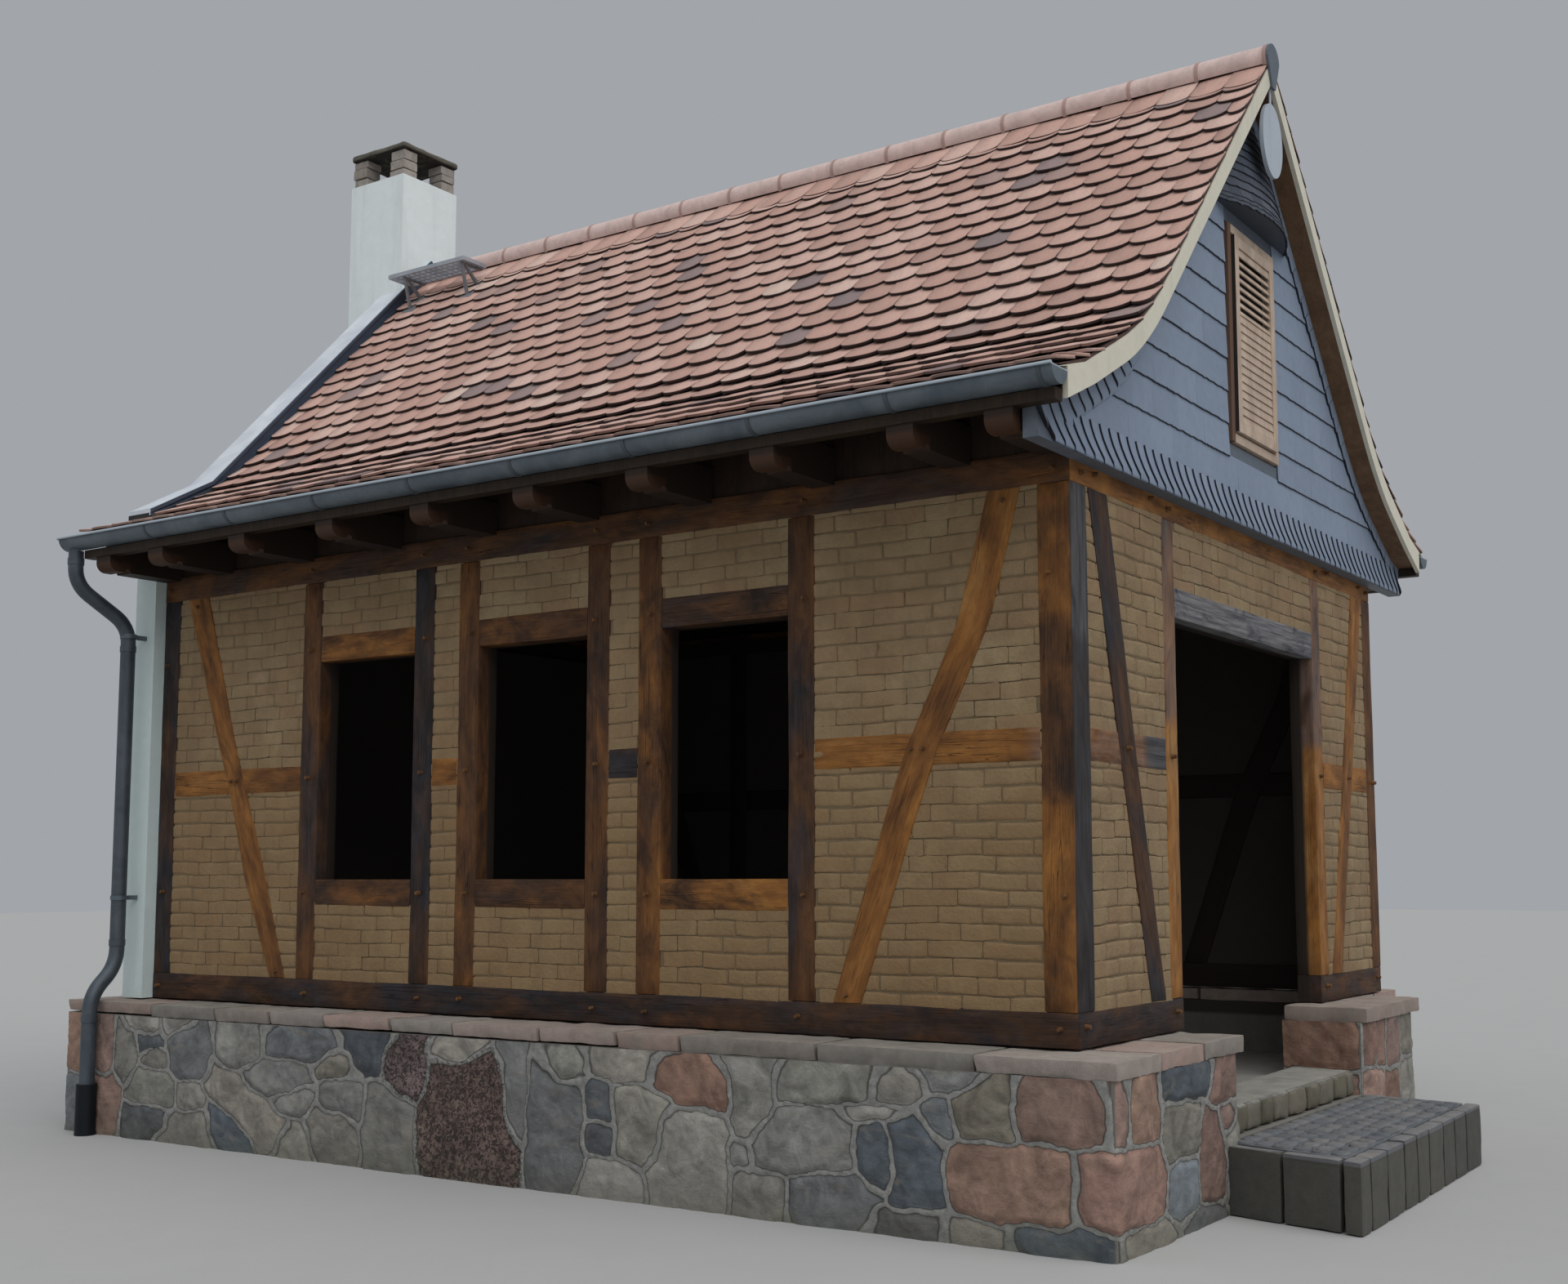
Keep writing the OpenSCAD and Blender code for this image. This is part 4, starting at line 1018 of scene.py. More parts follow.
def smear_bricks(bricks):
    """Lets the courses wander and fills the joints in patches, as a hand-applied clay wash does."""
    mesh = bricks.data
    joint = mesh.attributes["joint"].data
    for vertex in mesh.vertices:
        x, y, z = vertex.co
        gable = x > GABLE - 0.05
        along = y if gable else x
        spot = Vector((along, z, 3.0 if gable else (7.0 if y > 0 else 0.0)))
        sway = noise.noise_vector(spot * 1.6) * 0.010 + noise.noise_vector(spot * 6.0) * 0.006
        filled = held((noise.fractal(spot * 2.3 + Vector((5, 1, 2)), 0.9, 2.1, 3) + 0.20) / 0.32)
        out = (x - (GABLE - INFILL_BACK)) if gable else (abs(y) + FRONT + INFILL_BACK)
        wave = 0.0022 * noise.noise(spot * 3.1) + 0.0008 * noise.noise(spot * 14.0)
        out = out * (1 - 0.88 * filled) + 0.0030 * filled + wave + 0.0012
        if gable:
            vertex.co = (GABLE - INFILL_BACK + out, y + sway.x, z + sway.y)
        else:
            vertex.co = (x + sway.x, math.copysign(out - FRONT - INFILL_BACK, y), z + sway.y)
        joint[vertex.index].value *= 1 - 0.92 * filled
    return bricks


# rubble plinth
STONES = {
    "grey": (0.228, 0.223, 0.202), "olive": (0.222, 0.208, 0.170), "blue": (0.165, 0.173, 0.178),
    "dark": (0.092, 0.100, 0.108), "sand": (0.285, 0.183, 0.143), "rust": (0.245, 0.145, 0.108),
    "lava": (0.150, 0.100, 0.085), "pale": (0.280, 0.265, 0.235),
}
# front wall: distance from the left end, height of the middle, half length, half height (all mm), lean, kind
FRONT_STONES = (
    (95, 500, 120, 105, 0, "sand"), (350, 455, 62, 120, 0, "sand"), (330, 210, 145, 140, 0, "sand"),
    (560, 470, 80, 115, 0, "grey"), (770, 545, 105, 50, 8, "dark"), (830, 460, 105, 50, -6, "grey"),
    (815, 290, 180, 105, 0, "olive"), (790, 120, 175, 75, 4, "dark"), (1145, 270, 90, 70, 10, "grey"),
    (1105, 80, 195, 95, 0, "grey"), (1140, 500, 190, 135, 0, "blue"), (1560, 545, 195, 100, 0, "grey"),
    (1640, 240, 400, 115, -28, "pale"), (1480, 110, 150, 80, -24, "dark"), (2060, 570, 285, 75, 0, "blue"),
    (1890, 425, 260, 100, 4, "grey"), (2030, 300, 140, 75, 12, "grey"), (2360, 515, 190, 70, 6, "olive"),
    (2380, 330, 170, 105, -5, "grey"), (2530, 555, 150, 90, 0, "dark"), (2310, 150, 180, 140, 0, "grey"),
    (2745, 220, 180, 215, 0, "grey"), (2870, 480, 145, 130, 20, "lava"), (3200, 590, 120, 50, 10, "pale"),
    (3300, 290, 330, 290, 0, "lava"), (3605, 420, 95, 190, 0, "blue"), (3880, 330, 185, 260, 0, "blue"),
    (3935, 560, 125, 90, 0, "olive"), (4130, 435, 95, 90, 0, "dark"), (4150, 270, 110, 75, 0, "dark"),
    (4265, 610, 165, 60, 0, "grey"), (4400, 350, 165, 165, -5, "olive"), (4220, 90, 145, 85, 0, "pale"),
    (4680, 210, 220, 220, 0, "grey"), (4690, 545, 210, 75, -5, "rust"), (5040, 500, 115, 145, 5, "grey"),
    (4970, 255, 50, 42, 0, "grey"), (5080, 95, 130, 95, 0, "pale"), (5300, 350, 245, 135, 6, "grey"),
    (5420, 585, 225, 62, 4, "olive"), (5460, 115, 205, 105, 4, "blue"), (5675, 310, 85, 110, 15, "dark"),
    (5660, 490, 115, 32, 0, "pale"), (5870, 300, 125, 175, 0, "dark"), (5800, 600, 125, 55, 8, "pale"),
    (5985, 500, 62, 80, 20, "blue"), (6190, 535, 130, 110, 0, "olive"), (6560, 545, 195, 105, 0, "sand"),
    (6310, 265, 265, 150, 0, "sand"), (5820, 55, 135, 45, 0, "dark"), (6180, 50, 120, 45, 0, "pale"),
    (6520, 45, 190, 45, 0, "dark"),
)
# gable wall left of the door: distance from the corner
GABLE_STONES = (
    (50, 545, 95, 105, 0, "sand"), (255, 545, 165, 125, 0, "sand"), (160, 270, 300, 150, 0, "rust"),
    (700, 610, 260, 60, 0, "dark"), (640, 425, 195, 120, 0, "olive"), (650, 190, 145, 125, 0, "blue"),
    (985, 260, 145, 205, 6, "rust"), (1110, 560, 130, 100, 0, "rust"), (1130, 430, 90, 75, 0, "sand"),
    (1230, 320, 90, 70, 0, "olive"), (330, 50, 190, 45, 0, "pale"), (900, 45, 200, 45, 0, "blue"),
    (1230, 130, 90, 90, 0, "grey"),
)
# gable wall right of the door, and the short returns beside the tread: from the door's edge outwards
RIGHT_STONES = (
    (-215, 560, 200, 120, 0, "rust"), (-200, 300, 190, 130, 0, "sand"), (130, 570, 110, 110, 0, "rust"),
    (330, 560, 90, 115, 0, "rust"), (560, 540, 130, 130, 0, "sand"), (190, 300, 180, 130, 0, "sand"),
    (520, 280, 150, 120, 0, "rust"), (830, 560, 130, 110, 0, "olive"), (860, 300, 170, 140, 0, "grey"),
    (1180, 540, 180, 130, 0, "grey"), (1200, 260, 160, 140, 0, "blue"), (1520, 400, 150, 220, 0, "sand"),
    (300, 80, 260, 75, 0, "grey"), (850, 80, 240, 70, 0, "dark"), (1400, 85, 230, 70, 0, "olive"),
)


def chosen_stones(rng, start, end, height, known):
    """The listed stones, and more between start and end where no stone is near."""
    stones = list(known)
    kinds = ["grey", "olive", "blue", "dark", "pale", "grey", "rust", "grey"]
    for _ in range(900):
        t, z = rng.uniform(start, end), rng.uniform(0.05, height)
        a = rng.uniform(0.10, 0.2)
        b = a * rng.uniform(0.55, 0.95)
        if all(math.hypot((t - s[0]) / (a + s[2]), (z - s[1]) / (b + s[3])) > 0.93 for s in stones):
            stones.append((t, z, a, b, math.radians(rng.uniform(-25, 25)), rng.choice(kinds)))
    return stones


def rubble(name, path, step, stones, rng, finish):
    """A skin of stones along path, the plan line of a wall's outer face, its outside on the left hand."""
    path = [Vector((*p, 0)) for p in path]
    legs = [(b - a).length for a, b in zip(path, path[1:])]
    total = sum(legs)
    across = int(round(total / step))
    up = int(round(PLINTH_TOP / step))
    lengths = np.linspace(0, total, across + 1)
    heights = np.linspace(0.0, PLINTH_TOP, up + 1)
    soft = 0.022  # the wall's corners are rounded over this length
    sides = [Vector((a.y - b.y, b.x - a.x, 0)).normalized() for a, b in zip(path, path[1:])]
    spots, normals = [], []
    for t in lengths:
        k, rest = 0, t
        while k < len(legs) - 1 and rest > legs[k]:
            rest -= legs[k]
            k += 1
        near, f = k, 0.0
        if rest > legs[k] - soft and k < len(legs) - 1:
            near, f = k + 1, 0.5 * (rest - legs[k] + soft) / soft
        elif rest < soft and k > 0:
            near, f = k - 1, 0.5 - 0.5 * rest / soft
        out = sides[k].lerp(sides[near], f).normalized()
        spot = path[k] + (path[k + 1] - path[k]).normalized() * rest - out * soft * 1.6 * f * (1 - f)
        spots.append(tuple(spot))
        normals.append(tuple(out))
    grid_t, grid_z = np.meshgrid(lengths, heights, indexing="ij")
    flat_t, flat_z = grid_t.ravel(), grid_z.ravel()
    bend = np.array([noise.noise_vector(Vector((t * 7, z * 7, 3.1))) for t, z in zip(flat_t, flat_z)])
    small = np.array([noise.noise_vector(Vector((t * 26, z * 26, 9.1))) for t, z in zip(flat_t, flat_z)])
    moved_t = flat_t + 0.024 * bend[:, 0] + 0.008 * small[:, 0]
    moved_z = flat_z + 0.024 * bend[:, 1] + 0.008 * small[:, 1]
    best = np.full(grid_t.size, 9e9)
    second = np.full(grid_t.size, 9e9)
    owner = np.zeros(grid_t.size, int)
    for number, (t, z, a, b, lean, _) in enumerate(stones):
        near = np.abs(moved_t - t) < 1.0
        dt, dz = moved_t[near] - t, moved_z[near] - z
        c, s = math.cos(lean), math.sin(lean)
        u, v = (dt * c + dz * s) / a, (-dt * s + dz * c) / b
        # a rounded rectangle: how far a point is outside it, in metres
        d = (np.abs(u) ** 3.6 + np.abs(v) ** 3.6) ** (1 / 3.6)
        d = (d - 1.0) * (min(a, b) * 0.35 + 0.65 * math.sqrt(a * b))
        old = best[near]
        closer = d < old
        second[near] = np.where(closer, old, np.minimum(second[near], d))
        best[near] = np.where(closer, d, old)
        index = owner[near]
        index[closer] = number
        owner[near] = index
    # the joints are wider in some places than in others
    edge = (second - best) / 2 + 0.0045 * bend[:, 2] + 0.002 * small[:, 2]
    ribbon = 0.010
    face = np.clip((edge - ribbon) / 0.03, 0, 1)
    face = face * face * (3 - 2 * face)
    kinds = [s[5] for s in stones]
    lava = np.array([1.0 if k == "lava" else 0.0 for k in kinds])[owner]
    rough = np.array([noise.fractal(Vector((t * 9, z * 9, o * 3.7)), 0.9, 2.1, 4)
                      for t, z, o in zip(flat_t, flat_z, owner)])
    pits = np.array([noise.noise(Vector((t * 60, z * 60, 1.7))) for t, z in zip(flat_t, flat_z)])
    tilt = np.array([(rng.uniform(-0.08, 0.08), rng.uniform(-0.07, 0.07),
                      rng.uniform(0.0, 0.007)) for _ in stones])
    centre = np.array([(s[0], s[1]) for s in stones])[owner]
    lean_out = tilt[owner, 0] * (flat_t - centre[:, 0]) + tilt[owner, 1] * (flat_z - centre[:, 1])
    broken = np.abs(rough - 0.15) * 1.3
    lean_out = np.clip(lean_out, -0.007, 0.007)
    stone = 0.0055 + face * (0.0060 + tilt[owner, 2] + 0.0085 * (0.5 - broken) + lean_out)
    stone = stone + lava * face * (0.006 * np.abs(pits) - 0.004)
    joint = 0.0105 + 0.0012 * small[:, 2]
    groove = np.clip((edge - ribbon * 0.86) / (ribbon * 0.2), 0, 1)
    out = np.maximum(joint * (1 - groove) + stone * groove, 0.002)
    rows = len(heights)
    base = np.repeat(np.array(spots)[:, None, :], rows, 1)
    normal = np.repeat(np.array(normals)[:, None, :], rows, 1)
    points = base + normal * out.reshape(grid_t.shape)[:, :, None]
    points[:, :, 2] = grid_z
    points = points.reshape(-1, 3)
    i, j = np.meshgrid(np.arange(across), np.arange(up), indexing="ij")
    a = (i * rows + j).ravel()
    faces = np.stack([a, a + 1, a + rows + 1, a + rows], 1)
    shades = []
    for s in stones:
        light = rng.uniform(0.8, 1.25)
        warm = rng.uniform(-0.012, 0.012)
        r, g, b = STONES[s[5]]
        shades.append((max(0.01, (r + warm) * light), g * light, max(0.01, (b - warm) * light)))
    tint = np.array(shades)[owner]
    return make_object(name, points, faces, finish, 60.0, tint=tint, edge=edge, pores=lava, place=points)


def build_plinth(finish):
    """Skins of stones: from the door round the corner and along the front, right of the door, and round
    the back."""
    rng = random.Random(12)
    cheek = 2.962  # X of the inner end of the short returns beside the tread
    flush = 1.69  # beyond this Y the wall is flush with the timbers
    seen = PLINTH_X - cheek + PLINTH_Y + DOOR_LEFT

    def metres(stone, t):
        return (t, stone[1] / 1000, stone[2] / 1000, stone[3] / 1000, math.radians(stone[4]), stone[5])

    # the skin runs from the door along the gable wall to the corner and then along the front
    known = [metres(s, seen - s[0] / 1000) for s in GABLE_STONES]
    known += [metres(s, seen + 2 * PLINTH_X - s[0] / 1000) for s in FRONT_STONES]
    known += [metres((0, 560, 150, 120, 0, "sand"), 0.15), metres((0, 310, 150, 120, 0, "rust"), 0.17)]
    known = [s[:4] + (-s[4],) + s[5:] for s in known]
    line = [(cheek, DOOR_LEFT), (PLINTH_X, DOOR_LEFT), (PLINTH_X, -PLINTH_Y), (-PLINTH_X, -PLINTH_Y)]
    total = seen + 2 * PLINTH_X
    stones = chosen_stones(rng, 0, total, PLINTH_TOP, known)
    settle(rubble("front rubble", line, 0.0105, stones, rng, finish), "rubble_stone")
    known = [metres(s, PLINTH_X - GABLE + flush - DOOR_RIGHT - s[0] / 1000) for s in RIGHT_STONES]
    line = [(GABLE, flush), (PLINTH_X, flush), (PLINTH_X, DOOR_RIGHT), (cheek, DOOR_RIGHT)]
    stones = chosen_stones(rng, 0, 1.7, PLINTH_TOP, known)
    settle(rubble("gable rubble", line, 0.013, stones, rng, finish), "rubble_stone")
    line = [(-PLINTH_X, -PLINTH_Y), (-PLINTH_X, PLINTH_Y), (GABLE, PLINTH_Y), (GABLE, flush)]
    stones = chosen_stones(rng, 0, 2 * PLINTH_X + 2 * PLINTH_Y, PLINTH_TOP, [])
    settle(rubble("back rubble", line, 0.021, stones, rng, finish), "rubble_stone")


# rough slabs
def box_grid(counts):
    """Points of a box's surface in steps, and the faces between them, all facing outwards."""
    index, faces = {}, []
    for axis in range(3):
        first, second = (axis + 1) % 3, (axis + 2) % 3
        for i in range(counts[first]):
            for j in range(counts[second]):
                for level in (0, counts[axis]):
                    face = []
                    for a, b in ((i, j), (i + 1, j), (i + 1, j + 1), (i, j + 1)):
                        key = [level] * 3
                        key[first], key[second] = a, b
                        face.append(index.setdefault(tuple(key), len(index)))
                    faces.append(tuple(face) if level else tuple(reversed(face)))
    return list(index), faces


def rough_slab(heap, rng, low, high, round_off=0.014, rough=0.006, step=0.035, tone=0.5):
    """A hewn stone slab that fills a box, its edges broken and its faces uneven."""
    low, high = np.array(low, float), np.array(high, float)
    size, centre = high - low, (low + high) / 2
    counts = [max(2, int(round(s / step))) for s in size]
    grid, faces = box_grid(counts)
    shift = Vector((rng.uniform(-30, 30), rng.uniform(-30, 30), rng.uniform(-30, 30)))
    made, places = [], []
    for spot in grid:
        p = low + size * spot / counts
        inner = np.clip(p - centre, -(size / 2 - round_off), size / 2 - round_off)
        away = p - centre - inner
        length = np.linalg.norm(away)
        wave = noise.fractal(Vector(p * 7) + shift, 0.8, 2.0, 4)
        out = away / length if length > 1e-6 else np.zeros(3)
        if (np.abs(away) > 1e-6).sum() > 1:
            away = out * round_off * (1.0 - 0.25 * max(0.0, wave))
        made.append(tuple(centre + inner + away - out * rough * (0.5 + 0.5 * wave)))
        places.append(tuple(p + np.array(shift)))
    heap.add(made, faces, place=places, tone=tone, tint=rng.random())


def build_coping(finish):
    """The slabs on the plinth; those that show have finer edges than those behind."""
    rng = random.Random(33)
    heap = Heap()
    slabs = []
    for low, high in boxes("coping_slabs"):
        if low[1] < -2 and high[0] - low[0] > 0.8:
            # the longest slabs of the front are two stones each
            middle = low[0] + (high[0] - low[0]) * rng.uniform(0.4, 0.6)
            slabs.append((low, np.array([middle - 0.004, high[1], high[2]])))
            slabs.append((np.array([middle + 0.004, low[1], low[2]]), high))
        else:
            slabs.append((low, high))
    for low, high in slabs:
        seen = low[1] < -2 or high[0] > 3.3
        front = seen and high[1] < -1.9
        a, b = low - [0, 0, 0.004], high + [0, 0, rng.uniform(-0.006, 0.0)]
        if front:
            a[1] += rng.uniform(0.0, 0.026)
            a[2] += rng.uniform(-0.002, 0.012)
        elif seen:
            b[0] -= rng.uniform(0.0, 0.016)
        first = len(heap.points)
        rough_slab(heap, rng, a, b, 0.008, 0.008, 0.022 if seen else 0.05, tone=rng.random())
        if front:
            # the lower front edge is broken away unevenly
            for k in range(first, len(heap.points)):
                x, y, z = heap.points[k]
                if y < a[1] + 0.05:
                    deep = 0.5 + 0.5 * noise.noise(Vector((x * 9, z * 6, 4)))
                    share = held((b[2] - 0.020 - z) / 0.05)
                    heap.points[k] = (x, y + 0.022 * deep * share, z)
    settle(heap.build("coping stones", finish, smooth_angle=48.0), "coping_stone", "coping_slabs")


# roof tiles
def tile_shapes(long=0.215):
    """Four flat tiles with a rounded tail, one unit wide, tail at the origin and tipped up a little."""
    rng = random.Random(3)
    shapes = []
    for _ in range(4):
        twist, bow = rng.uniform(-0.003, 0.003), rng.uniform(-0.002, 0.003)
        outline = []
        for k in range(9):
            a = -1 + 2 * k / 8
            depth = 0.040 * (1 - math.sqrt(max(0.0, 1 - (abs(a) ** 2.1) * 0.93)))
            outline.append((a * 0.485, depth / 0.74))
        outline += [(0.485, 0.115), (0.485, long), (-0.485, long), (-0.485, 0.115)]
        n = len(outline)
        points, tail = [], []
        # the underside, the worn arris, and the flat top a few millimetres further in
        for drop, inset in ((0.013, 0.0), (0.0025, 0.0), (0.0, 0.0075)):
            for k, (x, y) in enumerate(outline):
                y = y + inset if k < 9 else y
                rise = 0.0185 - 0.105 * y + twist * x * 2 + bow * math.cos(x * 3.1) - drop
                points.append((x * (1 - inset * 1.2), y, rise))
                # tail marks the underside and the edge of the tail for painted shade, with some dirt
                tail.append(1.0 if inset == 0 and (k < 9 or drop > 0.005) else 0.0)
        faces = [tuple(range(2 * n, 3 * n)), tuple(range(n))[::-1]] + band_faces(n, 2)
        shapes.append((points, faces, {"tail": tail}))
    return shapes


def roof_line(start, end, count=60):
    """Points up the slope from start to end, both measured inwards from the wall's face."""
    spots = [start + (end - start) * k / count for k in range(count + 1)]
    return [(s, roof_z(s)) for s in spots]


def slope_path(x, side, start, end):
    """The line that tile courses follow up one side of the roof at x, and its length."""
    path = [(x, side * (FRONT + s), z - 0.004 - 0.026 * eaves_share(s)) for s, z in roof_line(start, end)]
    return path, sum(math.dist(a, b) for a, b in zip(path, path[1:]))


def build_roof_tiles(finish, shade):
    x_low, x_high, x_eaves = CHIMNEY_END + 0.012, VERGE, -3.104
    run = x_high - x_low
    wide = run / round(run / TILE)
    for name, node, side, seed in (("front tiles", "roof_tiles_front", 1, 4),
                                   ("back tiles", "roof_tiles_back", -1, 8)):
        corner, left = (x_low, x_eaves) if side == 1 else (x_high, x_low)
        start, ridge = -0.560, 2.022
        path, reach = slope_path(corner, side, start, ridge)
        beyond, _ = slope_path(corner, side, start, 2.088)
        # the courses are spread so that the last one leaves a high band of tiles below the ridge
        field = reach - 0.245
        gauge = field / int(field / GAUGE)
        parts = []
        for part, low, height, shapes, step, change in (
            ("", 0.0, field, tile_shapes(), gauge, 0),
            (" under the top", reach - 0.283, 0.2, tile_shapes(0.23), 0.2, 3),
            (" top", field, 0.26, tile_shapes(0.262), 0.26, 5),
        ):
            line = climb(beyond, low) if part else path
            parts.append(lay_courses(name + part, shapes, line, finish, 40.0, Across=(side, 0, 0), Run=run,
                                     Height=height, Piece_length=wide, Gauge=step, Gap=0.0,
                                     Bond=0.5, Wander=0.005, Tilt=0.015, Seed=seed + change))
        # three short rows in front of the fire wall
        line, _ = slope_path(left, side, start, -0.08)
        parts.append(lay_courses(name + " beside the fire wall", tile_shapes(), line, finish, 40.0,
                                 Across=(side, 0, 0),
                                 Run=x_low - x_eaves, Height=gauge * 3, Piece_length=x_low - x_eaves,
                                 Gauge=gauge, Bond=0.0, Wander=0.004, Tilt=0.012, Seed=seed + 9))
        settle(join_objects(name, parts), "roof_tile", node)
        heap = Heap()
        for x0, x1, last in ((x_low, VERGE - 0.01, 2.07), (x_eaves + 0.004, x_low, -0.085)):
            sheet = [(s, z - 0.026 - 0.026 * eaves_share(s)) for s, z in roof_line(-0.535, last)]
            sheet += [(s, z - 0.050) for s, z in reversed(roof_line(-0.428, last))]
            n = len(sheet)
            points = [(x, side * (FRONT + s), z) for x in (x0, x1) for s, z in sheet]
            faces = band_faces(n, 1) + [tuple(reversed(range(n))), tuple(range(n, 2 * n))]
            if side == 1:
                faces = [tuple(reversed(f)) for f in faces]
            heap.add(points, faces)
        settle(heap.build("under " + name, shade), "roof_tile")


def build_verge_strip(finish):
    """The painted edge that shows between the tiles and the verge boards."""
    heap = Heap()
    for side in (1, -1):
        line = roof_line(-0.50, 2.088, 70)
        low = [(s, z - 0.060) for s, z in line]
        high = [(s, z - 0.042 - 0.020 * eaves_share(s)) for s, z in line]
        ring = low + high[::-1]
        n = len(ring)
        points = [(x, side * (FRONT + s), z) for x in (3.279, 3.3045) for s, z in ring]
        faces = band_faces(n, 1)
        for first in (0, n):
            for j in range(len(line) - 1):
                a, b = first + j, first + n - 1 - j
                face = (a, a + 1, b - 1, b)
                faces.append(face if first else tuple(reversed(face)))
        if side == -1:
            faces = [tuple(reversed(f)) for f in faces]
        heap.add(points, faces)
    settle(heap.build("verge strip", finish), "painted_board")


def climb(path, length):
    """The rest of a path after the first length metres of it."""
    path = [Vector(p) for p in path]
    while len(path) > 2 and (path[1] - path[0]).length < length:
        length -= (path[1] - path[0]).length
        path.pop(0)
    path[0] = path[0] + (path[1] - path[0]).normalized() * length
    return [tuple(p) for p in path]


# slated gable
GUTTER_STRAP = -2.435  # X of the gutter's first strap
SLATE_FACE = 3.154  # outer side of the boards and first slates, as X
BORDER = 0.158  # width of the slates that run up the verges
FIELD_FOOT = 3.411
FIELD_COURSE = 0.168


def verge_y(z):
    """How far in from a long wall's face the slated gable's slope stands at height z."""
    low, high = -0.428, 2.09
    for _ in range(40):
        middle = (low + high) / 2
        if roof_z(middle) - 0.105 < z:
            low = middle
        else:
            high = middle
    return low


def slate_course(heap, rng, y0, y1, z0, z1, surface, wide=(0.22, 0.34), step=0.014, ragged=0.0035,
                 heads=(-9.0, 9.0)):
    """One course of slates between y0 and y1 on the surface x(y, z). Its foot is chipped and stands off.
    The heads stay between two positions, because the gable narrows."""
    y = y0
    while y < y1 - 1e-4:
        long = rng.uniform(*wide)
        end = y1 if y + long > y1 - wide[0] / 2 else y + long
        thick = rng.uniform(0.0075, 0.0095)
        count = max(2, int((end - y) / step))
        points, tail = [], []
        for k in range(count + 1):
            at = y + (end - y) * k / count
            chip = ragged * noise.noise(Vector((at * 22, z0 * 9, 1))) + rng.uniform(-1, 1) * ragged * 0.4
            foot = z0 + chip
            # the foot's points are marked dark for painted shadow under the slate's foot
            for z, out, dark in ((foot, 0.0, 1.0), (foot + 0.0015, thick, 1.0), (foot + 0.0075, thick, 0.0),
                                 (z1 + 0.012, 0.0015, 0.0)):
                inner = held(at, *heads) if out == 0.0015 else at
                points.append((surface(inner, z) + out, inner, z))
                tail.append(dark)
        heap.add(points, strip_faces(count), place=points, tone=rng.random(), tint=rng.random(), tail=tail)
        y = end


def crescent_slate(reach, drop, wide, thick=0.0165):
    """A slate of the foot band or the border: its left edge, dark with painted shadow, runs from the head
    down and bends to the right. The head is at height 0 and the foot at -drop; seen from outside, right is
    +x."""
    points, tail = [], []
    count, hollow = 10, 1.8
    for k in range(count + 1):
        f = k / count
        x, z = reach * f ** hollow, -drop * f
        chip = 0.001 * math.sin(k * 2.7)
        slope = Vector((reach * hollow * max(f, 0.05) ** (hollow - 1), -drop)).normalized()
        in_x, in_z = -slope.y * 0.007, slope.x * 0.007
        high = thick if k < count else thick * 0.45
        points += [(x + chip, z, 0.0), (x + chip, z, high), (x + in_x, z + in_z, high),
                   (x + wide, z, 0.0015)]
        tail += [1.0, 1.0, 0.0, 0.0] if k < count else [0.6, 0.3, 0.0, 0.0]
    return points, strip_faces(count), {"tail": tail}


def stepped_slate(deep):
    """A slate of the strip up the far verge, deep metres wide, with painted shadow on its inner edge and
    foot.
    """
    points, tail = [], []
    for y, z, shade in ((0.0, 0.0, 1.0), (0.0, -deep, 1.0), (0.115, -deep, 1.0), (0.115, 0.0, 0.0)):
        points += [(y, z, 0.0), (y, z, 0.0095)]
        tail += [shade, shade]
    for y, z in ((0.006, -0.002), (0.006, -deep + 0.005), (0.113, -deep + 0.005), (0.113, -0.002)):
        points.append((y, z, 0.0095))
        tail.append(0.0)
    faces = [(8, 9, 10, 11), (6, 4, 2, 0)]
    for k in range(4):
        a, b = 2 * k, 2 * ((k + 1) % 4)
        faces += [(a, b, b + 1, a + 1), (a + 1, b + 1, 8 + (k + 1) % 4, 8 + k)]
    return points, faces, {"tail": tail}


SLATE_PITCH = 0.0945  # from one slate of the foot band or the border to the next
HOOD_FOOT, HOOD_TOP = 4.892, 5.494
HOOD_HALF, HOOD_OUT = 0.536, 0.136  # half the width of the hood, and how far it stands out
FAN_DROP = 0.205  # length of the slates that fan out along the front verge


def hood_surface(y, z):
    """Outer side of the little hood over the shutter, as X: an arc that gets flatter towards the top."""
    arc = (HOOD_HALF ** 2 + HOOD_OUT ** 2) / (2 * HOOD_OUT)
    radius = arc - HOOD_OUT * (z - HOOD_FOOT) / (HOOD_TOP - HOOD_FOOT)
    centre = SLATE_FACE + HOOD_OUT - arc
    return max(centre + math.sqrt(max(radius * radius - y * y, 0.0)), SLATE_FACE) + 0.0015


def board_surface(y, z):
    """Outer side of the boards under the field slates, as X: the same everywhere."""
    return SLATE_FACE


def field_slates(heap, rng):
    """Courses of large slates up to the hood; beside the shutter there is a stretch on each side."""
    near, far = -0.372, 0.334  # ends of the two stretches at the shutter, as Y
    z = FIELD_FOOT
    while z < 4.88:
        head = z + FIELD_COURSE
        inset, above = verge_y(z), verge_y(head + 0.014)
        y0, y1 = FRONT + inset + (0.01 if z > 3.7 else BORDER * 0.8), BACK - inset - 0.09
        heads = (FRONT + above + 0.012, BACK - above - 0.012)
        step = 0.027 if z == FIELD_FOOT else 0.014  # the lowest course has longer chips
        for start, end in ((y0, near), (far, y1)) if head > 3.68 and z < 4.80 else ((y0, y1),):
            slate_course(heap, rng, start, end, z, head, board_surface, step=step, heads=heads)
        z += FIELD_COURSE


def hood_slates(heap, rng):
    """The hood's dense courses; the lowest rows are narrower, closer and more ragged."""
    z = HOOD_FOOT - 0.006
    while z < HOOD_TOP - 0.03:
        share = (HOOD_TOP - z) / (HOOD_TOP - HOOD_FOOT)
        half = min(0.53 * math.sqrt(share), -FRONT - verge_y(z) - 0.03)
        low = z < HOOD_FOOT + 0.02
        wide, ragged, pitch = ((0.035, 0.055), 0.009, 0.024) if low else ((0.07, 0.11), 0.004, 0.052)
        slate_course(heap, rng, -half, half, z, z + 0.052, hood_surface, wide, 0.012, ragged)
        z += pitch


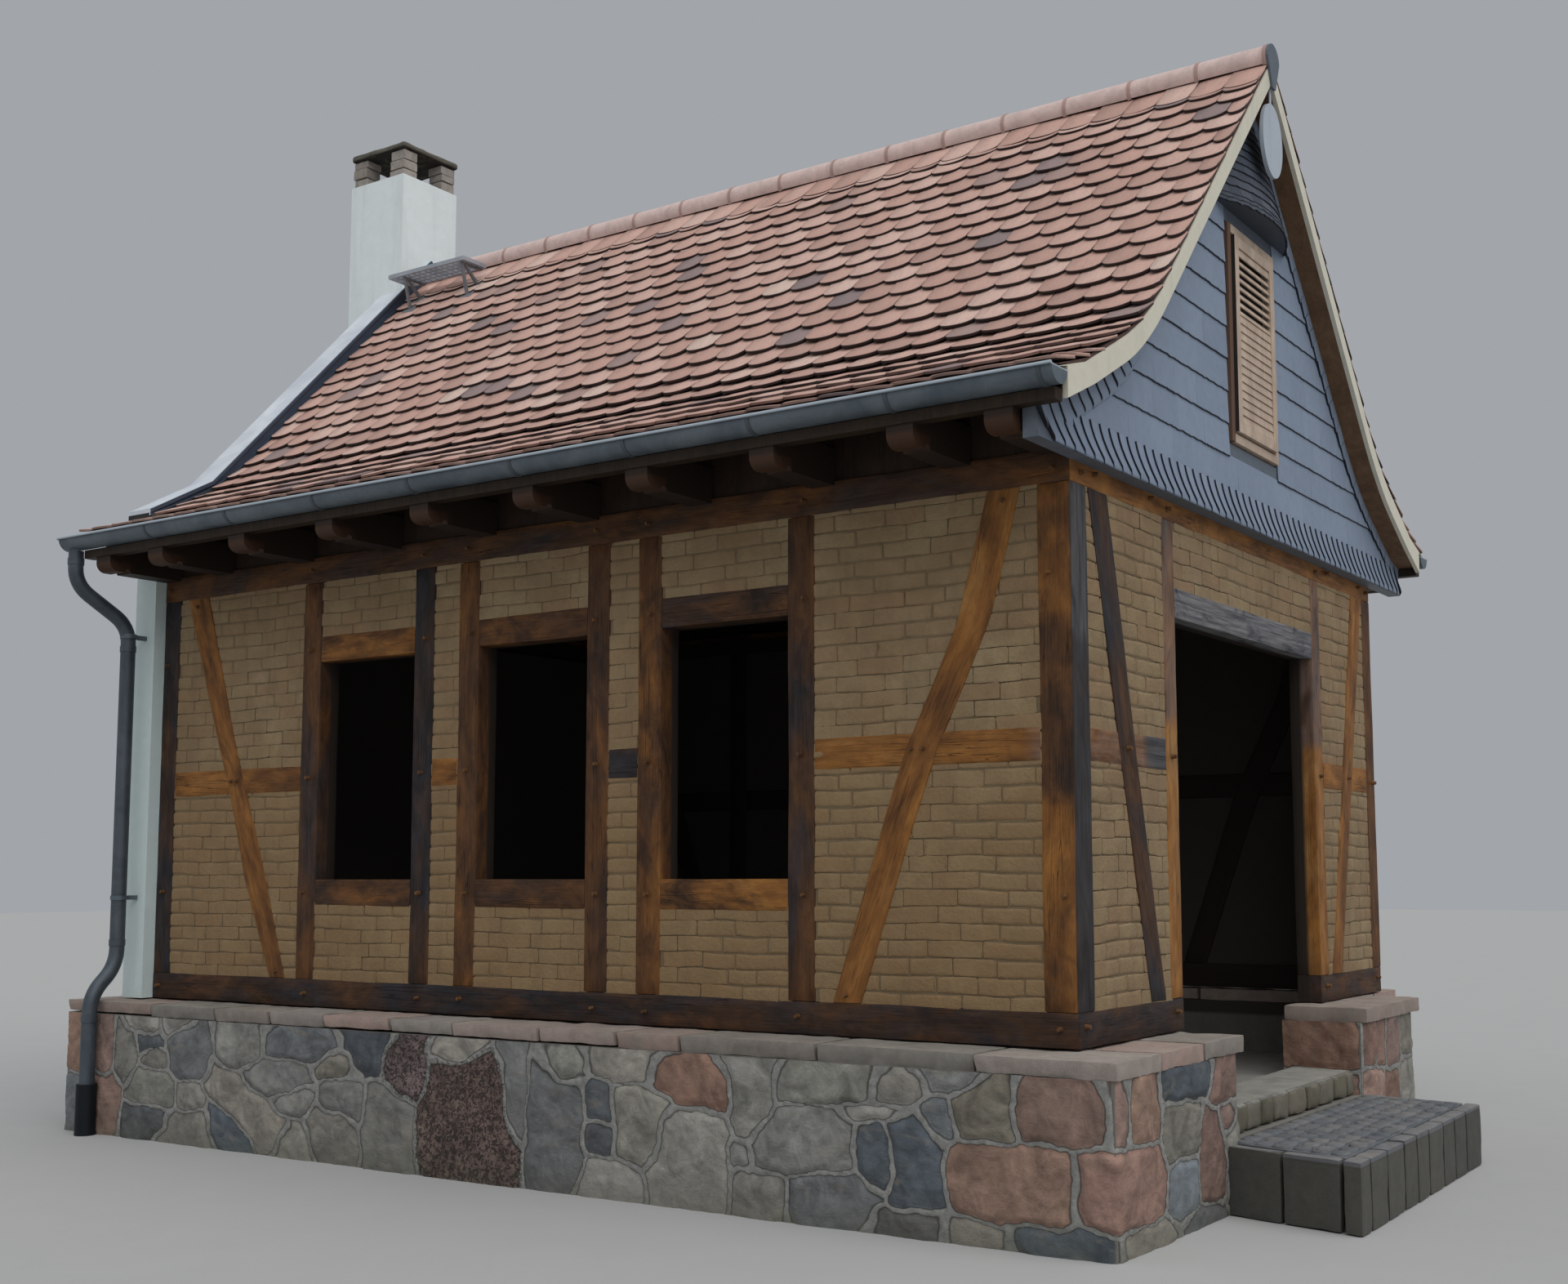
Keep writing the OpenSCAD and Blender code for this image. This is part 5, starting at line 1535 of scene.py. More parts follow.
def foot_band_slates(heap, rng):
    """The band that hangs below the field from a head line of its own."""
    lean = 0.021 / 0.175  # the band's face stands out towards its foot
    start, end = -2.50, 2.50
    points, faces, values = crescent_slate(0.115, 0.172, 0.185)
    y = start
    while y < end - 0.06:
        lift = rng.uniform(-0.0015, 0.0015)
        made = [(SLATE_FACE + 0.002 - lean * b + c, min(y + a, end), 3.4155 + b + lift) for a, b,
                c in points]
        heap.add(made, faces, place=made, tone=rng.random(), tint=rng.random(), **values)
        y += SLATE_PITCH


def border_slates(heap, rng):
    """Slates that fan out from the foot of the front verge, and a stepped strip up the other verge."""
    path = [(s, roof_z(s) - 0.150) for s in np.linspace(-0.46, 1.93, 300)]
    fan_end = 0.40  # the fan stops here, inwards from the wall's face
    fan, strip = crescent_slate(0.105, FAN_DROP, 0.14, 0.012), stepped_slate(0.125)
    length, gone = 0.0, 0.0
    for (s0, z0), (s1, z1) in zip(path, path[1:]):
        length += math.hypot(s1 - s0, z1 - z0)
        if length < gone:
            continue
        gone += SLATE_PITCH
        slope = math.atan2(z1 - z0, s1 - s0)
        steeper = slope + math.radians(9)
        # heads and feet of the fan follow the verge, and its sides hang more steeply
        for side, piece, across, down in ((1, fan, slope, slope * 0.45), (-1, strip, steeper, steeper)):
            if side == 1 and s0 > fan_end:
                continue
            points, faces, values = piece
            lift = rng.uniform(0.002, 0.005)
            made = []
            for a, b, out in points:
                if side == 1:
                    # the foot sinks into the field
                    sink = max(0.0, -b / FAN_DROP - 0.85) / 0.15
                    out = (out + 0.010) * (1 - 0.8 * sink) if out > 0 else -0.002
                y = s0 + a * math.cos(across) - b * math.sin(down)
                z = z0 + 0.045 + a * math.sin(across) + b * math.cos(down)
                made.append((SLATE_FACE + 0.003 + out + lift, side * (FRONT + y), z))
            turned = faces if side == 1 else [tuple(reversed(f)) for f in faces]
            heap.add(made, turned, place=made, tone=rng.random(), tint=rng.random(), **values)


def build_slates(finish, hood_finish):
    rng = random.Random(9)
    field, hood, edges = Heap(), Heap(), Heap()
    field_slates(field, rng)
    hood_slates(hood, rng)
    settle(hood.build("hood slates", hood_finish, smooth_angle=20.0), "roof_slate")
    parts = [field.build("field slates", finish, smooth_angle=20.0)]
    foot_band_slates(edges, rng)
    border_slates(edges, rng)
    parts.append(edges.build("border slates", finish, smooth_angle=20.0))
    settle(join_objects("gable slates", parts), "roof_slate")


def build_shutter(wood, shadow):
    """Casing, dark gap, frame of the leaf, and slats: seven near the top stand open, the others lie close."""
    rng = random.Random(15)
    heap, dark = Heap(), Heap()
    y0, y1, z0, z1 = -0.358, 0.320, 3.665, 4.812
    face, leaf = SLATE_FACE + 0.019, SLATE_FACE + 0.036

    def board(where, low, high, soft=0.002):
        rough_slab(where, rng, low, high, soft, 0.0005, 0.12, tone=0.5)

    casing, gap = 0.046, 0.010
    for low, high in (((y0, z0), (y0 + casing, z1)), ((y1 - casing, z0), (y1, z1)),
                      ((y0 + casing, z0), (y1 - casing, z0 + casing)),
                      ((y0 + casing, z1 - casing), (y1 - casing, z1))):
        board(heap, (3.121, low[0], low[1]), (face, high[0], high[1]))
    near, far, foot, head = y0 + casing + gap, y1 - casing - gap, z0 + casing + gap, z1 - casing - gap
    stile = 0.056
    for low, high in (((near, foot), (near + stile, head)), ((far - stile, foot), (far, head)),
                      ((near + stile, foot), (far - stile, foot + stile)),
                      ((near + stile, head - stile), (far - stile, head))):
        board(heap, (3.126, low[0], low[1]), (leaf, high[0], high[1]))
    # a dark board behind the leaf: painted shadow in the gap round the leaf
    board(dark, (3.122, y0 + 0.02, z0 + 0.02), (3.142, y1 - 0.02, z1 - 0.02))
    # the near side of the leaf lies in its own shadow
    board(dark, (3.140, near - 0.0035, foot), (leaf - 0.001, near - 0.0005, head), 0.0005)
    low, high, count = foot + stile, head - stile, 21
    pitch = (high - low) / count
    for k in range(count):
        z = low + pitch * k
        open_slat = count - 8 <= k < count - 1
        tall = pitch * (0.62 if open_slat else 0.97)
        x_low, x_high = (leaf - 0.004, leaf - 0.014) if open_slat else (leaf - 0.003, leaf - 0.009)
        points = []
        for y in (near + stile - 0.002, far - stile + 0.002):
            points += [(x_low, y, z + 0.001), (x_high, y, z + tall), (x_high - 0.008, y, z + tall),
                       (x_low - 0.008, y, z + 0.001)]
        faces = [(0, 4, 5, 1), (1, 5, 6, 2), (2, 6, 7, 3), (3, 7, 4, 0), (0, 1, 2, 3), (7, 6, 5, 4)]
        shift = rng.uniform(-5, 5)
        heap.add(points, faces, place=[(x, y, z + shift) for x, y, z in points], tone=0.5, tint=0.5)
    settle(heap.build("shutter wood", wood, smooth_angle=30.0), "softwood", "louvred_shutter")
    settle(dark.build("shutter shadow gap", shadow, smooth_angle=30.0), "softwood")


# chimney
def build_chimney(brick_finish, cap_finish):
    rng = random.Random(41)
    heap = Heap()
    for low, high in boxes("chimney_piers"):
        z = low[2]
        while z < high[2] - 0.01:
            tall = min(rng.uniform(0.048, 0.085), high[2] - z)
            if high[2] - z - tall < 0.02:
                tall = high[2] - z
            grow = [rng.uniform(-0.005, 0.005) for _ in range(4)]
            a = (low[0] - grow[0], low[1] - grow[1], z)
            b = (high[0] + grow[2], high[1] + grow[3], z + tall - 0.001)
            rough_slab(heap, rng, a, b, 0.005, 0.007, 0.026, tone=rng.random())
            z += tall
    settle(heap.build("pier bricks", brick_finish, smooth_angle=50.0), "chimney_brick", "chimney_piers")
    heap = Heap()
    low, high = boxes("chimney_cap")[0]
    rough_slab(heap, rng, low, high, 0.026, 0.009, 0.028, tone=0.4)
    centre = (low + high) / 2
    half = (high - low) / 2
    lowered = []
    for x, y, z in heap.points:
        rim = max(abs(x - centre[0]) / half[0], abs(y - centre[1]) / half[1])
        lowered.append((x, y, z - 0.026 * max(0.0, rim - 0.15) * (z - low[2]) / (high[2] - low[2])))
    heap.points = lowered
    cap = heap.build("chimney cap slab", cap_finish, smooth_angle=50.0)
    tone_by_height(cap.data, low[2] + 0.012, 0.0, 0.7)
    settle(cap, "chimney_brick", "chimney_cap")


def tone_by_height(mesh, limit, below, above):
    """Gives the points under a height one tone and the ones above it another; None leaves a tone as it is."""
    tone = mesh.attributes["tone"].data
    for vertex in mesh.vertices:
        wanted = below if vertex.co.z < limit else above
        if wanted is not None:
            tone[vertex.index].value = wanted


# platform and tread
def sett_shapes():
    """Four setts with worn tops, one unit long, their backs open."""
    rng = random.Random(17)
    shapes = []
    for _ in range(4):
        points = []
        n = 12
        for level, (shrink, height) in enumerate(((0.0, -0.012), (0.0, 0.004), (0.10, 0.011),
                                                  (0.45, 0.0135))):
            for k in range(n):
                a = 2 * math.pi * (k + 0.5) / n
                c, s = math.cos(a), math.sin(a)
                round_off = (abs(c) ** 5 + abs(s) ** 5) ** (-1 / 5)
                x, y = c * round_off, s * round_off
                wobble = rng.uniform(-0.02, 0.02) if level else 0
                points.append((x * 0.46 * (1 - shrink) + wobble,
                               (y * 0.46 * (1 - shrink) + 0.5) * 0.0905 + wobble * 0.1,
                               height + (rng.uniform(-0.0015, 0.0015) if level else 0)))
        points.append((0, 0.0452, 0.014))
        faces = band_faces(n, 3) + [(3 * n + j, 3 * n + (j + 1) % n, 4 * n) for j in range(n)]
        shapes.append((points, faces))
    return shapes


PLATFORM_NEAR, PLATFORM_FAR = -1.229, 0.870  # ends of the platform at the plinth, as Y
PLATFORM_DEEP = 0.650


def onto_platform(x, y):
    """A place on a straight platform, taken to the real one, whose ends and front edge are not square."""
    along = (y - PLATFORM_NEAR) / (PLATFORM_FAR - PLATFORM_NEAR)
    out = (x - PLINTH_X) / PLATFORM_DEEP
    near, far = PLATFORM_NEAR - 0.169 * out, PLATFORM_FAR - 0.112 * out
    return PLINTH_X + PLATFORM_DEEP * out * (1 - 0.0677 * held(along)), near + (far - near) * along


def build_setts(finish):
    line = [(3.940, -1.138, 0.300), (3.2, -1.138, 0.300)]
    setts = lay_courses("platform setts", sett_shapes(), line, finish, 50.0, Across=(0, 1, 0), Run=1.917,
                        Height=0.553, Piece_length=0.125, Gauge=0.0922, Gap=0.006, Bond=0.45, Wander=0.004,
                        Tilt=0.03, Length_change=0.018, Seed=2)
    for vertex in setts.data.vertices:
        vertex.co.x, vertex.co.y = onto_platform(vertex.co.x, vertex.co.y)
    settle(setts, "sett_stone")


def build_edging(finish, rng):
    """Upright stones along the platform's front edge and both ends."""
    heap = Heap()
    y = PLATFORM_NEAR
    spots = []
    while y < PLATFORM_FAR - 0.02:
        long = rng.uniform(0.20, 0.27)
        end = PLATFORM_FAR if y + long > PLATFORM_FAR - 0.1 else y + long
        if y == PLATFORM_NEAR:
            end = y + 0.150
        spots.append(((3.945, y + 0.002, 0.0), (4.034, end - 0.004, 0.311)))
        y = end
    for side, joints in (((PLATFORM_NEAR, -1.141), (3.386, 3.660, 3.941)),
                         ((0.782, 0.868), (3.386, 3.640, 3.941))):
        for start, end in zip(joints, joints[1:]):
            spots.append(((start, side[0] + 0.002, 0.0), (end - 0.006, side[1] - 0.001, 0.308)))
    for low, high in spots:
        rough_slab(heap, rng, low, (high[0], high[1], high[2] + rng.uniform(-0.006, 0.0)), 0.012, 0.006,
                   0.03,
                   tone=rng.uniform(0.0, 0.65))
    heap.points = [(*onto_platform(x, y), z) for x, y, z in heap.points]
    edging = heap.build("platform edge stones", finish, smooth_angle=50.0)
    tone_by_height(edging.data, 0.297, None, 1.6)
    settle(edging, "sett_stone", "platform_edging")


def build_tread(finish, rng):
    """The tread's slab, and the stones along its worn front edge."""
    heap = Heap()
    low, high = boxes("door_tread")[0]
    rough_slab(heap, rng, low + [0.05, 0.002, 0.02], high - [0.03, 0.002, 0], 0.012, 0.006, 0.03, tone=0.45)
    y = low[1] + 0.004
    while y < high[1] - 0.03:
        long = rng.uniform(0.15, 0.26)
        end = high[1] - 0.004 if y + long > high[1] - 0.12 else y + long
        front, top = high[0] - rng.uniform(0, 0.012), high[2] - rng.uniform(0.0, 0.006)
        rough_slab(heap, rng, (high[0] - 0.10, y, low[2]), (front, end - 0.006, top), 0.022, 0.013, 0.024,
                   tone=rng.uniform(0.0, 0.7))
        y = end
    tread = heap.build("door tread stones", finish, smooth_angle=50.0)
    tone_by_height(tread.data, high[2] - 0.012, None, 1.6)
    settle(tread, "sett_stone", "door_tread")


def build_platform(sett_finish, edge_finish, tread_finish):
    rng = random.Random(27)
    build_setts(sett_finish)
    build_edging(edge_finish, rng)
    build_tread(tread_finish, rng)


# gutter straps, downpipe, ridge rims and pegs
def raised_band(heap, x, centre, radius, first, last, half, proud):
    """A thin band across a round piece that runs along X, from one angle to the other in the Y-Z plane."""
    points = []
    count = 14
    for j in range(count + 1):
        a = first + (last - first) * j / count
        for dx, r in ((-half - 0.001, -0.001), (-half, proud), (half, proud), (half + 0.001, -0.001)):
            points.append((x + dx, centre[0] + (radius + r) * math.cos(a),
                           centre[1] + (radius + r) * math.sin(a)))
    faces = [(a, a + 1, a + 5, a + 4) for j in range(count) for a in range(4 * j, 4 * j + 3)]
    heap.add(points, faces)


def build_downpipe(finish):
    """The rainwater pipe, its bends drawn in one sweep, its lengths pushed into one another."""
    corners = [Vector(p) for p in ((-3.168, -2.598, 3.413), (-3.168, -2.598, 3.215),
                                   (-3.092, -2.281, 2.990),
                                   (-3.092, -2.281, 0.965), (-3.092, -2.446, 0.800),
                                   (-3.092, -2.446, 0.160))]
    pipe, collar, reach = 0.043, 0.0465, 0.105  # radii of the pipe and its joints, and how far a bend reaches
    line = [(corners[0], pipe)]
    for number, (before, corner, after) in enumerate(zip(corners, corners[1:], corners[2:])):
        up, down = (before - corner).normalized(), (after - corner).normalized()
        a, b = corner + up * reach, corner + down * reach
        if number in (0, 2):
            line += [(a + up * k, r) for k,
                     r in ((0.050, pipe), (0.049, collar), (0.012, collar), (0.011, pipe))]
        for k in range(9):
            t = k / 8
            line.append((a.lerp(corner, t).lerp(corner.lerp(b, t), t), pipe))
        if number in (1, 3):
            line += [(b + down * k, r) for k,
                     r in ((0.012, pipe), (0.013, collar), (0.050, collar), (0.051, pipe))]
    line.append((corners[-1], pipe))
    sides = 24
    side = Vector((1, 0, 0))
    points = []
    for k, (centre, radius) in enumerate(line):
        along = (line[min(k + 1, len(line) - 1)][0] - line[max(k - 1, 0)][0]).normalized()
        side = (side - along * side.dot(along)).normalized()
        other = along.cross(side)
        for j in range(sides):
            a = math.tau * j / sides
            points.append(centre + radius * (math.cos(a) * side + math.sin(a) * other))
    faces = [tuple(range(sides))[::-1], tuple((len(line) - 1) * sides + j for j in range(sides))]
    faces += band_faces(sides, len(line) - 1)
    settle(make_object("swept downpipe", points, faces, finish, smooth_angle=35.0), "zinc_sheet",
           "downpipe")


def build_gutter_straps(finish):
    """The straps that carry the gutter, seen as thin bands round the half pipe."""
    heap = Heap()
    for side in (1, -1):
        for k in range(9):
            raised_band(heap, GUTTER_STRAP + 0.7104 * k, (-side * 2.598, 3.485), 0.0705, -math.pi, 0.0,
                        0.010, 0.0040)
    settle(heap.build("gutter straps", finish, smooth_angle=30.0), "zinc_sheet", "gutter_brackets")


def build_ridge_rims(finish):
    """Raised rims at the joints of the ridge tiles."""
    heap = Heap()
    start, end = -2.980, VERGE
    step = (end - start) / 16
    for k in range(17):
        x = min(max(start + k * step, start + 0.012), end - 0.012)
        raised_band(heap, x, (0.0, 5.776), 0.080, math.radians(-36), math.radians(216), 0.010, 0.0045)
    settle(heap.build("ridge rims", finish, smooth_angle=30.0), "roof_tile")


def build_cap_edge(finish):
    """The hanging fold at each lower end of the parapet's sheet cap, near black: painted shadow at the cap's
    drip edge.
    """
    heap = Heap()
    for side in (1, -1):
        y = -side * 2.2275
        points = [(x, y + dy, z) for x in (-3.214, -2.986) for dy,
                  z in ((0, 3.716), (0, 3.664), (side * 0.004, 3.664),
                                                                       (side * 0.004, 3.716))]
        faces = [(0, 1, 5, 4), (1, 2, 6, 5), (2, 3, 7, 6), (3, 0, 4, 7), (3, 2, 1, 0), (4, 5, 6, 7)]
        heap.add(points, faces if side == -1 else [tuple(reversed(f)) for f in faces])
    settle(heap.build("cap edge", finish), "zinc_sheet")


def make_pegs_tree():
    """A peg on every point of the mesh, pointing along the point's own aim."""
    tree = bpy.data.node_groups.new("pegs", "GeometryNodeTree")
    given = group_inputs(tree, (("Geometry", "Geometry", None), ("Peg radius", "Float", 0.011),
                                ("Peg length", "Float", 0.05), ("Finish", "Material", None),
                                ("Seed", "Int", 1)))
    tree.interface.new_socket("Geometry", in_out="OUTPUT", socket_type="NodeSocketGeometry")
    body = put(tree, "GeometryNodeMeshCone", None, Vertices=9, Radius_Bottom=given["Peg radius"],
               Radius_Top=times(given["Peg radius"], 0.72), Depth=given["Peg length"]).outputs["Mesh"]
    aim = put(tree, "GeometryNodeInputNamedAttribute", {"data_type": "FLOAT_VECTOR"}, Name="aim").outputs[0]
    turn = put(tree, "FunctionNodeAlignRotationToVector", {"axis": "Z"}, Vector=aim).outputs[0]
    random_size = put(tree, "FunctionNodeRandomValue", {"data_type": "FLOAT"}, i2=0.8, i3=1.15,
                      Seed=given["Seed"])
    cloud = put(tree, "GeometryNodeMeshToPoints", None, i0=given["Geometry"]).outputs[0]
    placed = put(tree, "GeometryNodeInstanceOnPoints", None, Points=cloud, Instance=body, Rotation=turn,
                 Scale=random_size.outputs[1]).outputs[0]
    real = put(tree, "GeometryNodeRealizeInstances", None, Geometry=placed).outputs[0]
    done = put(tree, "GeometryNodeSetMaterial", None, Geometry=real, Material=given["Finish"]).outputs[0]
    tree.links.new(done, put(tree, "NodeGroupOutput").inputs[0])
    return tree


def build_pegs(finish):
    """Wooden pegs where posts, rails and braces are joined."""
    rng = random.Random(77)
    spots = []
    sill, rail, plate = 0.845, 2.04, 3.215  # heights of the pegs in the timbers that lie flat
    posts = [(low[0] + high[0]) / 2 for low, high in boxes("wall_posts") if low[1] < 0]
    for side in (1, -1):
        for x in posts + [-2.933, 3.02]:
            for z in (sill, plate):
                spots.append(((x + rng.uniform(-0.02, 0.02), side * FRONT, z + rng.uniform(-0.01, 0.01)),
                              (0, -side, 0)))
            if -2.9 < x < 3.0:
                spots.append(((x, side * FRONT, rail), (0, -side, 0)))
            for z in (1.398, 2.764):
                spots.append(((x + rng.uniform(-0.03, 0.03), side * FRONT, z), (0, -side, 0)))
        for x in (-2.33, -2.28, 2.31, 2.37, -1.89, 1.96, -2.69, 2.78):
            z = rail if 2.2 < abs(x) < 2.4 else (0.955 if x in (-1.89, 1.96) else 3.10)
            spots.append(((x, side * FRONT, z), (0, -side, 0)))
    for y in (-2.01, -1.055, 1.05, 2.01):
        for z in (0.86, 3.20, 2.03):
            if z == 2.03 and y < -2:
                continue
            spots.append(((GABLE, y + rng.uniform(-0.02, 0.02), z), (1, 0, 0)))
    for y in (-1.86, -1.26, -1.56, 1.56, 1.86, 1.26):
        spots.append(((GABLE, y, rail if abs(y) == 1.56 else plate), (1, 0, 0)))
    holder = make_object("oak pegs", [s[0] for s in spots], [], None, aim=[s[1] for s in spots])
    grow(holder, make_pegs_tree(), {"Peg radius": 0.012, "Peg length": 0.024, "Finish": finish, "Seed": 4})
    settle(holder, "oak_timber")


# studio and camera
def build_studio():
    floor = make_object("studio floor", [(-60, -60, 0), (60, -60, 0), (60, 60, 0), (-60, 60, 0)],
                        [(0, 1, 2, 3)],
                        mineral_material("pale floor", (0.42, 0.42, 0.41), 0.02, 0.03, 0.0, 0.95, 0.0, 0.0))
    world = bpy.data.worlds.new("studio")
    world.use_nodes = True
    background = world.node_tree.nodes["Background"]
    background.inputs[0].default_value = (0.86, 0.90, 0.96, 1.0)
    background.inputs[1].default_value = 0.42
    bpy.context.scene.world = world
    for name, toward, strength, softness in (("key", (0.52, -0.26, 0.82), 1.9, 70),
                                             ("fill", (-0.2, -0.8, 0.5), 0.25, 120)):
        lamp = bpy.data.lights.new(name, "SUN")
        lamp.energy = strength
        lamp.angle = math.radians(softness)
        made = bpy.data.objects.new(name, lamp)
        made.rotation_euler = Vector(toward).to_track_quat("Z", "Y").to_euler()
        bpy.context.scene.collection.objects.link(made)
    bpy.context.scene.view_settings.view_transform = "Standard"


def build_camera():
    data = bpy.data.cameras.new("camera")
    data.sensor_fit = "HORIZONTAL"
    data.sensor_width = 36.0
    data.lens = 40.606
    data.shift_x = -0.03864
    data.shift_y = 0.03284
    made = bpy.data.objects.new("camera", data)
    made.location = (6.3388, -8.7668, 1.5004)
    made.rotation_mode = "XYZ"
    turn = Matrix.Rotation(math.radians(33.278), 3, "Z") @ Matrix.Rotation(math.radians(90 + 5.766), 3, "X")
    turn = turn @ Matrix.Rotation(math.radians(-0.204), 3, "Z")
    made.rotation_euler = turn.to_euler()
    bpy.context.scene.collection.objects.link(made)
    bpy.context.scene.camera = made


# everything together
oak = oak_material()
rubble_finish = rubble_material()
brick_finish = clay_brick_material()
coping_finish = tinted_material("coping sandstone", (
    (0.0, (0.215, 0.200, 0.175)), (0.25, (0.350, 0.245, 0.205)), (0.5, (0.285, 0.265, 0.240)),
    (0.75, (0.390, 0.265, 0.225)), (1.0, (0.250, 0.205, 0.175))), 0.004, 0.3, 0.002, 0.9, 0.4, 0.15,
    (0.24, 0.23, 0.20), 0.5)
tile_finish = tinted_material("clay tiles", (
    (0.0, (0.240, 0.180, 0.176)), (0.05, (0.330, 0.230, 0.213)), (0.09, (0.440, 0.268, 0.218)),
    (0.4, (0.525, 0.312, 0.252)), (0.75, (0.585, 0.370, 0.305)), (0.98, (0.640, 0.440, 0.370)),
    (1.0, (0.64, 0.49, 0.41))), 0.003, 0.14, 0.001, 0.8, 0.06, 0.06, (0.38, 0.25, 0.22), 0.45,
    (0.030, 0.017, 0.015), 0.4, 3.62)
ridge_finish = mineral_material("ridge rims", (0.420, 0.280, 0.245), 0.004, 0.2, 0.001, 0.85)
strap_finish = mineral_material("gutter straps", (0.060, 0.075, 0.090), 0.004, 0.2, 0.0005, 0.55)
shadow_finish = mineral_material("shadow gap", (0.014, 0.010, 0.009), 0.004, 0.2, 0.0005, 0.8)
# near black: painted shadow at the cap's drip edge
cap_edge_finish = mineral_material("black sheet edge", (0.012, 0.012, 0.014), 0.004, 0.1, 0.0005, 0.7)
slate_finish = tinted_material("gable slates", (
    (0.0, (0.205, 0.252, 0.335)), (0.5, (0.220, 0.270, 0.355)), (1.0, (0.236, 0.288, 0.375))), 0.003, 0.10,
    0.0006, 0.6, 0.05, 0.03, (0.200, 0.240, 0.310), 0.4, (0.016, 0.018, 0.026), 0.3)
hood_finish = tinted_material("hood slates", (
    (0.0, (0.040, 0.048, 0.068)), (0.5, (0.055, 0.066, 0.090)), (1.0, (0.075, 0.088, 0.115))), 0.003, 0.15,
    0.0006, 0.6, 0.05, 0.03, (0.050, 0.060, 0.080), 0.4, (0.010, 0.011, 0.016), 0.3)
pier_finish = tinted_material("pier stones", (
    (0.0, (0.28, 0.24, 0.21)), (0.5, (0.38, 0.34, 0.30)), (1.0, (0.33, 0.30, 0.27))), 0.005, 0.4, 0.003,
    0.95, 0.3, 0.2, (0.17, 0.155, 0.12), 0.5)
cap_finish = tinted_material("mossy cap", (
    (0.0, (0.018, 0.012, 0.011)), (0.5, (0.110, 0.100, 0.080)), (1.0, (0.14, 0.13, 0.105))), 0.006, 0.4,
    0.004, 0.95, 0.3, 0.2, (0.10, 0.11, 0.05), 0.7)
sett_finish = tinted_material("setts", (
    (0.0, (0.115, 0.130, 0.148)), (0.5, (0.150, 0.165, 0.185)), (1.0, (0.185, 0.190, 0.200))), 0.004, 0.3,
    0.003, 0.8, 0.3, 0.1, (0.13, 0.11, 0.10), 0.4)
edge_finish = tinted_material("edge stones", (
    (0.0, (0.060, 0.060, 0.052)), (0.7, (0.085, 0.082, 0.070)), (1.0, (0.170, 0.175, 0.185))), 0.004, 0.3,
    0.003, 0.85, 0.3, 0.2, (0.09, 0.075, 0.06), 0.4)
tread_finish = tinted_material("tread stones", (
    (0.0, (0.110, 0.100, 0.070)), (0.4, (0.180, 0.155, 0.115)), (0.7, (0.140, 0.132, 0.105)),
    (1.0, (0.275, 0.268, 0.238))), 0.005, 0.35, 0.004, 0.9, 0.3, 0.2, (0.15, 0.16, 0.09), 0.5)
under_tile = mineral_material("shade under the tiles", (0.09, 0.05, 0.04), 0.004, 0.3, 0.001)

PLAIN = {
    "softwood": plain_wood_material("softwood", (0.36, 0.20, 0.09), (0.20, 0.10, 0.04)),
    "painted_board": mineral_material(
        "cream paint", (0.66, 0.62, 0.51), 0.003, 0.08, 0.0008, 0.6, 0.1, 0.1),
    "lime_render": mineral_material(
        "white render", (0.76, 0.82, 0.82), 0.006, 0.06, 0.0012, 0.95, 0.05, 0.10),
    # the pale band along the top of the gutter is a painted highlight
    "zinc_sheet": zinc_material("weathered zinc", (0.085, 0.110, 0.135), (0.150, 0.180, 0.205),
                                (("Z", 3.478, 3.600, 0.004, (0.430, 0.490, 0.540)),)),
    "roof_slate": mineral_material("slate", (0.105, 0.125, 0.155), 0.004, 0.2, 0.001, 0.55, 0.1, 0.05),
    "chimney_brick": mineral_material("old brick", (0.22, 0.16, 0.12), 0.006, 0.4, 0.004),
    "pale_plaque": mineral_material("pale plaque", (0.42, 0.47, 0.53), 0.004, 0.08, 0.0005, 0.5),
    "black_plastic": mineral_material(
        "black plastic", (0.006, 0.008, 0.011), 0.004, 0.2, 0.0004, 0.5, 0.0, 0.0, shine=0.2),
    "floor_concrete": mineral_material("concrete", (0.25, 0.24, 0.22), 0.005, 0.25, 0.002),
    "sett_stone": mineral_material("sett stone", (0.13, 0.14, 0.15), 0.004, 0.3, 0.003),
    "coping_stone": mineral_material("plain sandstone", (0.34, 0.24, 0.18), 0.004, 0.3, 0.003),
    "rubble_stone": mineral_material("joint mortar", (0.17, 0.16, 0.14), 0.005, 0.25, 0.003),
    "clay_brick": mineral_material("clay wash", (0.17, 0.12, 0.065), 0.006, 0.2, 0.004, 0.93),
    "oak_timber": plain_wood_material("plain oak", (0.20, 0.095, 0.035), (0.05, 0.026, 0.016), 0.3),
    "roof_tile": mineral_material("ridge clay", (0.640, 0.485, 0.445), 0.004, 0.25, 0.001, 0.85),
}
